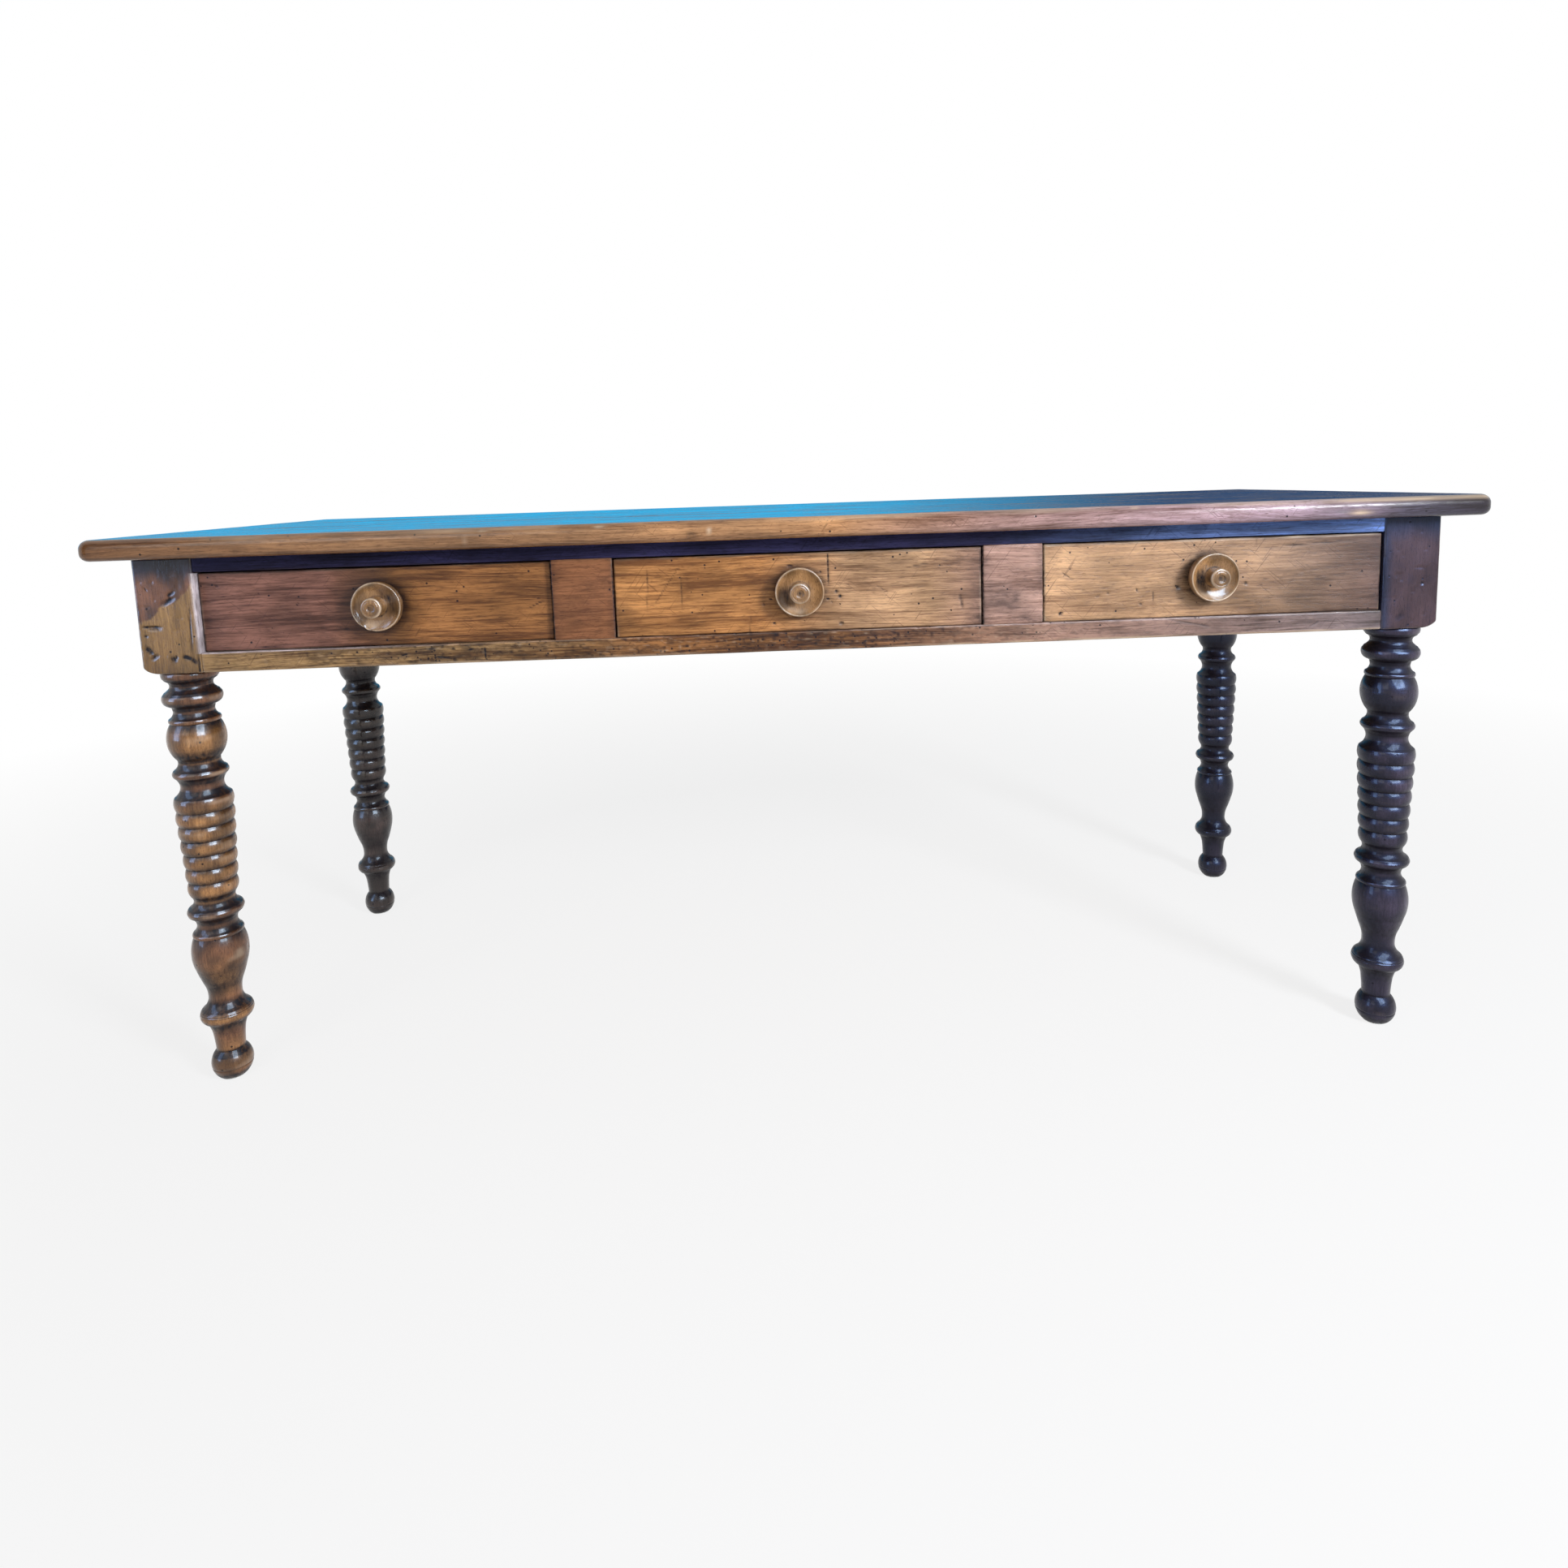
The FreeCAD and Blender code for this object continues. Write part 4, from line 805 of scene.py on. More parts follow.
def tones():
    """The colours of the finishes by name, as arrays."""
    finishes = bpy.context.scene.table_finishes
    names = TableFinishes.__annotations__
    return SimpleNamespace(**{name: np.array(getattr(finishes, name)) for name in names})


def solid_box(node):
    """Lowest and highest corner of a solid, in millimetres."""
    low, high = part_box(node)
    return np.array(low) / MM, np.array(high) / MM


def box_between(node, axis, start, end):
    """Lowest and highest corner of a solid without its tenons, from start to end along one axis."""
    low, high = solid_box(node)
    low[axis], high[axis] = start, end
    return low, high


def block_box(node):
    """Lowest and highest corner of the square block of a leg, in millimetres."""
    low, high = solid_box(node)
    middle = (low + high) / 2
    half = BLOCK_WIDTH / 2
    return (
        np.array((middle[0] - half, middle[1] - half, high[2] - BLOCK_HEIGHT)),
        np.array((middle[0] + half, middle[1] + half, high[2])),
    )


def dressed(node, body, material, points, faces, grain, stain, patina, sharp=40, calm=0.0):
    """A piece of the table, given in millimetres, that stands for a solid and rides on its body."""
    name = f"{node}_dressed"
    mesh = bpy.data.meshes.new(name)
    mesh.from_pydata((points * MM).tolist(), [], [list(dict.fromkeys(face)) for face in faces.tolist()])
    for label, kind, field, values in (
        ("grain", "FLOAT_VECTOR", "vector", grain),
        ("stain", "FLOAT_VECTOR", "vector", stain),
        ("patina", "FLOAT_VECTOR", "vector", patina),
        ("calm", "FLOAT", "value", np.full(len(points), calm)),
    ):
        layer = mesh.attributes.new(label, kind, "POINT")
        layer.data.foreach_set(field, np.asarray(values, np.float32).ravel())
    mesh.shade_smooth()
    mesh.set_sharp_from_angle(angle=math.radians(sharp))
    mesh.materials.append(finish(material))
    made = bpy.data.objects.new(name, mesh)
    bpy.context.scene.collection.objects.link(made)
    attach(made, body)
    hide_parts(node)


def faced_board(
    node, body, box, cells, axis, seed, stops, marks=(), extra=None, material="polished_front", calm=0.0
):
    """A worn board that stands for a solid: gouged, rounded on its arrises, darker in its corners with grime
    and painted shade.
    """
    wear = bpy.context.scene.table_wear
    points, faces = board_grid(*box, cells, wear.arris / MM)
    out = directions(points, faces)
    edge = edge_share(out)
    depth, dirt_and_shade = front_marks(points, out, marks)
    loss = edge * patches(points, (22, 22, 22), seed, 1.5, 0.35) * wear.edge_loss / MM
    wave = uneven(points, (70, 40, 40), seed) * (1 - edge) * wear.waviness / MM
    worm = np.zeros(len(points))
    dirt_and_shade = np.maximum(dirt_and_shade, 0.12 * mottle(points, (60, 60, 60), seed + 9))
    rubbed_and_glint = edge * patches(points, (35, 35, 35), seed + 3, 1.7, 0.5) * 0.55
    stain = along(points, 0, stops)
    if extra:
        worm, dirt_and_shade, rubbed_and_glint, stain = extra(points, out, worm, dirt_and_shade, rubbed_and_glint, stain)
    points = points + out * (wave - loss - depth)[:, None]
    grain = grained(points, axis, seed)
    dressed(node, body, material, points, faces, grain, stain, pack_patina_and_light(worm, dirt_and_shade, rubbed_and_glint), calm=calm)


def worked(solid, material, chamfer):
    """Gives a solid that stays its material, and takes the sharpness off its edges."""
    if not solid.material_slots:
        solid.data.materials.append(material)
    for slot in solid.material_slots:
        slot.material = material
    softened = solid.modifiers.new("softened", "BEVEL")
    softened.width = chamfer
    softened.segments = 2
    softened.limit_method = "ANGLE"
    softened.angle_limit = math.radians(35)
    softened.harden_normals = True


class TABLE_OT_top(bpy.types.Operator):
    """Makes the three boards of the top with their rounded edge"""

    bl_idname = "table.dress_top"
    bl_label = "Top"

    # Places inward from a rounded edge, and from a seam in shares of its rounding.
    NOSE_STEPS = (0, 0.15, 0.5, 1.1, 1.9, 2.9, 4.1, 5.5, 7.1, 8.9, 10.8, 12.6, 15, 18)
    SEAM_STEPS = (0, 0.35, 1)
    CELL_ALONG = 5
    CELL_ACROSS = 7
    UPPER_ROUND = 12
    LOWER_ROUND = 10
    CORNER_ROUND = 18
    SEAM_GAP = 0.12
    MOST_PROUD = 0.3

    def steps(self, low, high, low_nosed, high_nosed, cell, seam):
        """Places across the board, close together on rounded edges."""
        lead, tail = (
            np.array(self.NOSE_STEPS) if nosed else np.array(self.SEAM_STEPS) * seam
            for nosed in (low_nosed, high_nosed)
        )
        start, end = low + lead[-1], high - tail[-1]
        flat = np.linspace(start, end, max(2, round((end - start) / cell)) + 1)
        return np.concatenate((low + lead[:-1], flat, high - tail[:-1][::-1]))

    def rounded(self, inward, radius):
        """How far a rounded edge falls away at a distance inward from the rim."""
        gone = np.clip(radius - inward, 0, radius)
        return radius - np.sqrt(radius ** 2 - gone ** 2)

    def shape(self, low, high, front, back, seam):
        """Points and faces of a board, and the distances of each point from the rim and from a seam."""
        y_low = low[1] if front is None else front + self.SEAM_GAP
        y_high = high[1] if back is None else back - self.SEAM_GAP
        xs = self.steps(low[0], high[0], True, True, self.CELL_ALONG, seam)
        ys = self.steps(y_low, y_high, front is None, back is None, self.CELL_ACROSS, seam)
        x, y = (part.ravel() for part in np.meshgrid(xs, ys, indexing="ij"))
        inner_x, inner_y = np.array(SOLID_BOX[1])[:2] / MM - self.CORNER_ROUND
        past_x = np.clip(np.abs(x) - inner_x, 0, None)
        past_y = np.clip(np.abs(y) - inner_y, 0, None)
        reach = np.maximum(past_x, past_y)
        turn = np.where(reach > 0, reach / np.maximum(np.hypot(past_x, past_y), TINY), 1)
        x = np.sign(x) * (np.abs(x) - past_x + past_x * turn)
        y = np.sign(y) * (np.abs(y) - past_y + past_y * turn)
        inward = self.CORNER_ROUND - reach
        beside = np.full(len(x), high[0])
        if front is not None:
            beside = np.minimum(beside, y - ys[0])
        if back is not None:
            beside = np.minimum(beside, ys[-1] - y)
        fall, rise = (
            np.maximum(self.rounded(inward, radius), self.rounded(beside, seam))
            for radius in (self.UPPER_ROUND, self.LOWER_ROUND)
        )
        points = np.concatenate((np.stack((x, y, high[2] - fall), 1), np.stack((x, y, low[2] + rise), 1)))
        count = len(x)
        sheet = sheet_faces(len(xs), len(ys))
        index = np.arange(count).reshape(len(xs), len(ys))
        rim = np.concatenate((index[:-1, 0], index[-1, :-1], index[:0:-1, -1], index[0, :0:-1]))
        ahead = np.roll(rim, -1)
        wall = np.stack((rim, rim + count, ahead + count, ahead), 1)
        faces = np.concatenate((sheet, sheet[:, ::-1] + count, wall))
        return points, faces, np.tile(inward, 2), np.tile(beside, 2)

    def board(self, node, seed, front, back, stops, nose_stops):
        """One board; front and back are the seams beside it, or nothing on an open edge."""
        wear = bpy.context.scene.table_wear
        low, high = solid_box(node)
        points, faces, inward, beside = self.shape(low, high, front, back, wear.seam / MM)
        out = directions(points, faces)
        deep, dirt_and_shade, rubbed_and_glint = np.zeros((3, len(points)))
        if front is None:
            at_front = np.clip(-out[:, 1] * 1.6, 0, 1)
            for mark_x, mark_z, long, tall, depth, bare, dark in NOSE_MARKS:
                hit = bump_at(points[:, 0], mark_x, long) * bump_at(points[:, 2], mark_z, tall) * at_front
                deep = np.maximum(deep, depth * hit)
                dirt_and_shade = np.maximum(dirt_and_shade, dark * hit)
                rubbed_and_glint = np.maximum(rubbed_and_glint, bare * hit)
        nose = np.clip(1 - inward / self.UPPER_ROUND, 0, 1)
        # The upper arris is lighter: worn, and partly a painted highlight.
        upper_arris = bump_at(points[:, 2], high[2] - 3, 2.6) * (nose > 0)
        worn = np.minimum(patches(points, (90, 30, 9), seed + 1, 1.5, 0.45), 0.7)
        rubbed_and_glint = np.maximum(rubbed_and_glint, upper_arris * worn)
        # Darker along the underside of the rounded edge: painted shade.
        under = 0.5 * nose * bump_at(points[:, 2], low[2], 4)
        in_seam = 0.9 * bump_at(beside, 0, 1.2)
        clouds = 0.3 * patches(points, (130, 60, 60), seed + 4, 2, 1.2)
        dirt_and_shade = np.maximum.reduce((dirt_and_shade, under, in_seam, clouds))
        wave = uneven(points, (160, 45, 45), seed) * wear.waviness / MM
        wave = wave * np.clip(inward / self.CORNER_ROUND, 0.25, 1)
        points = points + out * (wave - deep)[:, None]
        points[:, 2] = np.minimum(points[:, 2], high[2] + self.MOST_PROUD)
        edge = np.clip((11 - inward) / 4, 0, 1)
        stain = toned(along(points, 0, stops), edge, along(points, 0, nose_stops))
        dressed(
            node, "frame", "polished_top", points, faces,
            grained(points, "x", seed), stain, pack_patina_and_light(0.012, dirt_and_shade, rubbed_and_glint),
        )

    def execute(self, context):
        tone = tones()
        walnut, nose, painted_blue_sheen = tone.walnut, tone.nose, tone.painted_blue_sheen
        # The face is darker towards the right end, painted shade. The rounded edge is darker at its left end,
        # brighter in the middle with a painted bluish highlight from 250 to 600, and darker at the right end,
        # painted shade.
        face = [(-900, walnut * 0.6), (100, walnut * 0.75), (900, walnut * 0.14)]
        edge = [
            (-900, nose * (0.74, 0.66, 0.6)),
            (-350, nose),
            (50, nose * 1.4),
            (250, nose * 1.2 + painted_blue_sheen * 0.5),
            (600, nose + painted_blue_sheen * 0.95),
            (780, nose * 0.14 + painted_blue_sheen * 0.3),
            (900, nose * 0.06 + painted_blue_sheen * 0.1),
        ]
        self.board("top_board_front", 11, None, SEAMS[0], face, edge)
        self.board("top_board_middle", 17, SEAMS[0], SEAMS[1], face, edge)
        self.board("top_board_back", 23, SEAMS[1], None, face, edge)
        return {"FINISHED"}


class TABLE_OT_legs(bpy.types.Operator):
    """Makes the four turned legs with their square blocks"""

    bl_idname = "table.dress_legs"
    bl_label = "Legs"

    STEM_SIDES = 84
    STEM_STEP = 1.1
    LINE_HALF_WIDTH = 0.8
    # How far up and down the turning the narrow and the wide dips are looked for, where grime and painted
    # shade go.
    CREASE_REACH = 4.5
    HOLLOW_REACH = 9
    MARKED_CELL = 1.3
    PLAIN_CELL = 2.2
    # Share of a block's corner that stays where it is turned round.
    CORNER_LEFT = 0.02

    def stem_rows(self, top):
        """Rows of radius and level of the turning, with the lines cut into it."""
        level = top
        corners = [("line", COLLAR_TOP_RADIUS, top, 0)]
        lines = []
        for name, shape, height, radius, bulge in LEG_MEMBERS:
            lines += [(level - share * height, depth) for member, share, depth in LEG_LINES if member == name]
            level -= height
            corners.append((shape, radius, level, bulge))
        rows = outline(corners, self.STEM_STEP)
        for place, depth in lines:
            rows[:, 0] -= depth * bump_at(rows[:, 1], place, self.LINE_HALF_WIDTH)
        return np.concatenate(([(0, top + HIDDEN_CAP)], rows, [(0, rows[-1, 1])]))

    def stem(self, centre, top, seed, colours, worn):
        """The turning of one leg, with its stain and patina."""
        wear = bpy.context.scene.table_wear
        rows = self.stem_rows(top)
        points, faces, row_of = spun(rows, self.STEM_SIDES)
        radius, level = rows.T
        near, wide = (
            np.array([radius[np.abs(level - here) < reach].max() for here in level])
            for reach in (self.CREASE_REACH, self.HOLLOW_REACH)
        )
        # Narrow dips take grime and painted shade, wide dips painted shade in their colour, and proud crests
        # wear and a painted highlight.
        crease_grime_and_shade = np.clip((near - radius) / 1.9, 0, 1) ** 1.5
        hollow_shade = np.maximum(np.clip((wide - radius) / 6.5, 0, 1) ** 1.6, crease_grime_and_shade)
        proud = np.clip(1 - (wide - radius) / 0.9, 0, 1)
        hollow_shade, proud, crease_grime_and_shade = (share[row_of] for share in (hollow_shade, proud, crease_grime_and_shade))
        out = directions(points, faces)
        lumps = uneven(points, (26, 26, 34), seed) * wear.out_of_round / MM
        dents = patches(points, (9, 9, 11), seed + 2, 4, 3.1) * 0.7
        points = points + out * (lumps - dents * (0.3 + 0.7 * proud))[:, None]
        patch = patches(points, (20, 20, 16), seed + 6, 2.2, 0.6)
        stain = along(points, 2, colours) * ((0.65 + 0.75 * patch) * (1 - 0.5 * hollow_shade))[:, None]
        dirt_and_shade = np.maximum(0.85 * crease_grime_and_shade, 0.4 * patches(points, (12, 12, 12), seed + 8, 3, 2.1))
        rubbed_and_glint = proud * patches(points, (20, 20, 8), seed + 3, 2, 1.1) * worn
        return points + (centre[0], centre[1], 0), faces, stain, pack_patina_and_light(0.02, dirt_and_shade, rubbed_and_glint)

    def block(self, low, high, centre, seed, marks, stops, extra):
        """The square block of one leg, turned round at the outer corners of its lower end."""
        wear = bpy.context.scene.table_wear
        cell = self.MARKED_CELL if marks else self.PLAIN_CELL
        points, faces = board_grid(low, high, (cell, cell, cell), wear.block_arris / MM)
        half = (high[0] - low[0]) / 2
        blank = half * (math.sqrt(2) - 1)
        lift = np.clip(blank - (points[:, 2] - low[2]), 0, blank)
        limit = half * math.sqrt(2) - (blank - np.sqrt(blank ** 2 - lift ** 2))
        dx, dy = points[:, 0] - centre[0], points[:, 1] - centre[1]
        reach = np.hypot(dx, dy)
        turned = (limit + self.CORNER_LEFT * (reach - limit)) / np.maximum(reach, TINY)
        scale = np.where((dx * centre[0] > 0) & (reach > limit), turned, 1)
        points[:, 0] = centre[0] + dx * scale
        points[:, 1] = centre[1] + dy * scale
        out = directions(points, faces)
        edge = edge_share(out)
        depth, dirt_and_shade = front_marks(points, out, marks)
        loss = edge * patches(points, (20, 20, 24), seed, 1.6, 0.4) * wear.edge_loss / MM
        wave = uneven(points, (34, 34, 60), seed) * (1 - edge) * wear.waviness / MM * 1.3
        dents = patches(points, (8, 8, 8), seed + 2, 4, 3.2) * (0.12 + 0.48 * front_facing(out))
        rubbed_and_glint = edge * patches(points, (18, 18, 26), seed + 3, 1.8, 0.6) * 0.5
        stain = along(points, 2, stops)
        # Darker under the table top: painted shade.
        shade_under_top = 0.35 * bump_at(points[:, 2], high[2], 16)
        spots = 0.4 * patches(points, (14, 14, 20), seed + 7, 3, 2.05)
        dirt_and_shade = np.maximum.reduce((dirt_and_shade, shade_under_top, spots))
        if extra:
            dirt_and_shade, rubbed_and_glint, stain = extra(points, out, dirt_and_shade, rubbed_and_glint, stain)
        points = points + out * (wave - loss - depth - dents)[:, None]
        return points, faces, stain, pack_patina_and_light(0.02, dirt_and_shade, rubbed_and_glint)

    def leg(self, node, seed, marks, block_stops, stem_stops, extra, calm, material, worn):
        """One whole leg."""
        low, high = block_box(node)
        middle = (low + high) / 2
        stem = self.stem(middle, low[2], seed, stem_stops, worn)
        block = self.block(low, high, middle, seed, marks, block_stops, extra)
        first = len(stem[0])
        points, stain, patina = (np.concatenate((stem[i], block[i])) for i in (0, 2, 3))
        faces = np.concatenate((stem[1], block[1] + first))
        dressed(
            node, "frame", material, points, faces,
            grained(points, "z", seed), stain, patina, 35, np.where(np.arange(len(points)) < first, 0, calm),
        )

    def execute(self, context):
        tone = tones()
        gold, red, dark, blue = tone.leg_gold, tone.leg_red, tone.leg_dark, tone.shaded_leg_blue
        olive, shaded_mauve, umber = tone.olive, tone.shaded_mauve, tone.umber
        mixed = [
            (0, red), (40, gold * 0.75), (70, red), (95, gold * 0.8), (115, red), (150, gold * 0.7),
            (190, red), (250, red), (265, gold * 0.9), (390, gold * 0.9), (410, red), (450, red),
            (460, gold * 1.1), (505, gold * 1.1), (515, red), (581, red),
        ]

        def front_left(points, out, dirt_and_shade, rubbed_and_glint, stain):
            x, y, z = points.T
            behind = y - y.min()
            line = np.interp(x, *zip(*LEFT_BLOCK_LINE)) + 4 * uneven(points, (9, 9, 9), 4) - 0.9 * behind
            brown = np.clip((z - line) / (2.5 + 0.4 * behind), 0, 1)
            deep = patches(points, (9, 9, 24), 8, 2.6, 1)
            stain = toned(stain, brown, tone.reddish * (1.2, 1.15, 0.9) * (1 - 0.6 * deep)[:, None])
            # Navy above this level is painted shade under the table top.
            shade = np.clip((z - LEFT_SHADE_LEVEL - 12 * mottle(points, (14, 14, 40), 5)) / 16, 0, 1)
            stain = toned(stain, 0.92 * shade, tone.shaded_navy * 0.4)
            foot = 0.4 * bump_at(z, BLOCK_FOOT, 7) * mottle(points, (20, 20, 20), 6)
            # The cheek and the inner arris are whitish: wax, partly a painted sheen.
            cheek = np.clip(out[:, 0], 0, 1) ** 2 * np.clip((CHEEK_BACK - y) / 6, 0, 1)
            inside = bump_at(x, -BLOCK_INNER, 2.5) * front_facing(out)
            bright = (cheek + 0.7 * inside) * (z > CHEEK_LEVELS[0]) * (z < CHEEK_LEVELS[1])
            bright = np.clip(bright, 0, 1)
            speck = 0.75 + 0.5 * mottle(points, (4, 4, 7), 9)
            stain = toned(stain, bright, tone.wax_and_sheen_white * speck[:, None])
            clean = 1 - 0.8 * bright
            return np.maximum(dirt_and_shade, foot) * clean, rubbed_and_glint * clean, stain

        def front_right(points, out, dirt_and_shade, rubbed_and_glint, stain):
            x, _, z = points.T
            # Painted bluish shade under the top and along the inner arris.
            cool = np.clip((z - RIGHT_SHADE_LEVEL - 24 * mottle(points, (30, 30, 30), 5)) / 30, 0, 1)
            cool = np.maximum(cool, 0.8 * bump_at(x, BLOCK_INNER, 9))
            return dirt_and_shade * 0.8, rubbed_and_glint * 0.2, toned(stain, cool, tone.painted_blue_sheen * 0.17)

        self.leg(
            "leg_front_left", 31, LEFT_BLOCK_MARKS,
            [(600, olive * (1, 0.95, 0.8)), (650, olive * (1.1, 1.05, 0.9)), (733, olive)],
            mixed, front_left, 0.1, "polished_leg", 0.5,
        )
        # The front right leg and the back legs are darker towards the top, painted shade under the table; the
        # right-hand legs' dark bluish colour is painted shade with a painted bluish reflection.
        self.leg(
            "leg_front_right", 37, RIGHT_BLOCK_MARKS, [(600, shaded_mauve * 0.85), (733, shaded_mauve * 0.7)],
            [(0, blue), (581, blue)], front_right, 0.65, "bluish_leg", 0.06,
        )
        self.leg(
            "leg_back_left", 41, (), [(600, umber * 1.6), (733, umber * 1.2)],
            [(0, dark * 1.2), (581, dark * 0.8)], None, 0, "polished_leg", 0.12,
        )
        self.leg(
            "leg_back_right", 43, (), [(600, umber * 1.3), (733, umber)],
            [(0, blue * 0.6), (581, blue * 0.3)], None, 0, "bluish_leg", 0.04,
        )
        return {"FINISHED"}


class TABLE_OT_front_frame(bpy.types.Operator):
    """Makes the rails and stiles round the drawers"""

    bl_idname = "table.dress_front_frame"
    bl_label = "Rails and stiles"

    # Middle and half length of the stretches of the bottom rail that worms have eaten.
    EATEN_LEFT = (-490, 75)
    EATEN_MIDDLE = (-60, 330)

    def stile_wear(self, low, high):
        """Wear of one stile: grime and painted shade along its sides, and smears."""

        def stile(points, out, worm, dirt_and_shade, rubbed_and_glint, stain):
            rim = np.minimum(points[:, 0] - low[0], high[0] - points[:, 0])
            # Dark lines along the sides: painted shade in the gaps, with grime.
            edge = np.maximum(0.9 * bump_at(rim, 0, 1.7), 0.35 * bump_at(rim, 0, 9))
            smear = 0.45 * patches(points, (34, 34, 40), 16, 2.2, 0.8)
            return worm + 0.015, np.maximum.reduce((dirt_and_shade, edge, smear)), rubbed_and_glint * 0.5, stain

        return stile

    def execute(self, context):
        tone = tones()
        olive, rosy, reddish, amber = tone.olive, tone.rosy, tone.reddish, tone.amber
        shaded_navy, painted_blue_sheen = tone.shaded_navy, tone.painted_blue_sheen

        def top_rail(points, out, worm, dirt_and_shade, rubbed_and_glint, stain):
            return worm, dirt_and_shade * 0.6, rubbed_and_glint * 0.15, stain

        def bottom_rail(points, out, worm, dirt_and_shade, rubbed_and_glint, stain):
            x, y, z = points.T
            left, middle = bump_at(x, *self.EATEN_LEFT), bump_at(x, *self.EATEN_MIDDLE)
            worm = (0.36 * left + 0.26 * middle + 0.06) * patches(points, (26, 26, 8), 6, 2.6, 0.8)
            rough = 0.65 * bump_at(x, -490, 80) * patches(points, (13, 13, 4), 8, 2.4, 0.9)
            streak = patches(points, (22, 22, 3.5), 9, 2.4, 0.9)
            grit = patches(points, (5, 5, 2.6), 10, 3, 1.6)
            old = np.clip(middle + 0.6 * bump_at(x, -520, 150) + 0.25, 0, 1)
            dirt_and_shade = np.maximum.reduce((dirt_and_shade, rough, 0.6 * old * streak, 0.75 * old * grit))
            # The ledge is whitish: wax, partly a painted sheen.
            ledge = np.clip(out[:, 2], 0, 1) * (z > 590)
            wax_and_sheen_ledge = ledge * np.clip((-290 - y) / 8, 0, 1) * np.clip((-420 - x) / 160, 0.12, 1)
            stain = toned(stain, wax_and_sheen_ledge, tone.wax_and_sheen_white * 1.1)
            bright = patches(points, (6, 6, 2.6), 18, 3, 2) * old
            lower_arris = 0.8 * bump_at(z, 582.5, 1.6) * mottle(points, (40, 40, 40), 12)
            rubbed_and_glint = np.maximum.reduce((rubbed_and_glint, lower_arris, 0.35 * bright * (1 - grit)))
            return worm, dirt_and_shade, rubbed_and_glint, stain

        inner = block_box("leg_front_left")[1][0]
        # The top rail is painted navy shade, turning to a painted bluish reflection towards its right end.
        faced_board(
            "front_top_rail", "frame", box_between("front_top_rail", 0, inner, -inner),
            (3, 8, 3), "x", 51,
            [(-782, shaded_navy), (250, shaded_navy * 1.1), (480, painted_blue_sheen), (782, painted_blue_sheen * (2.5, 2.8, 2.9))],
            (), top_rail, "shaded_rail",
        )
        # Towards its right end the bottom rail is darker and bluish: painted shade.
        faced_board(
            "front_bottom_rail", "frame", box_between("front_bottom_rail", 0, inner, -inner),
            (1.8, 7, 1.3), "x", 53,
            [
                (-782, olive * 0.92), (-560, olive * 1.1), (-420, olive * 1.2), (-200, amber * 0.85),
                (80, amber * 0.66), (330, rosy * 0.68), (782, rosy * (0.32, 0.43, 0.62)),
            ],
            RAIL_MARKS, bottom_rail, calm=-0.9,
        )
        lower, upper = solid_box("front_bottom_rail")[1][2], solid_box("front_top_rail")[0][2]
        for node, seed, wood in (
            ("stile_left", 57, reddish * (1.35, 1.2, 0.75) + amber * 0.12),
            ("stile_right", 59, rosy * (1.25, 1.35, 1.5)),
        ):
            low, high = box_between(node, 2, lower, upper)
            faced_board(
                node, "frame", (low, high), (2, 6, 2), "x", seed,
                [(low[0], wood * 0.92), (high[0], wood)], (), self.stile_wear(low, high),
            )
        return {"FINISHED"}


class TABLE_OT_aprons(bpy.types.Operator):
    """Makes the aprons at the back and the ends"""

    bl_idname = "table.dress_aprons"
    bl_label = "Aprons"

    def execute(self, context):
        tone = tones()
        wood = (tone.umber + tone.olive) / 2
        inner_x, inner_y = block_box("leg_front_left")[1][:2]
        faced_board(
            "rear_apron", "frame", box_between("rear_apron", 0, inner_x, -inner_x),
            (6, 6, 5), "x", 61, [(-782, wood * 0.9), (782, wood * 0.7)],
        )
        for node, seed in (("end_apron_left", 67), ("end_apron_right", 71)):
            faced_board(
                node, "frame", box_between(node, 1, inner_y, -inner_y),
                (6, 5, 4), "y", seed, [(-860, wood), (860, wood * 0.6)],
            )
        return {"FINISHED"}


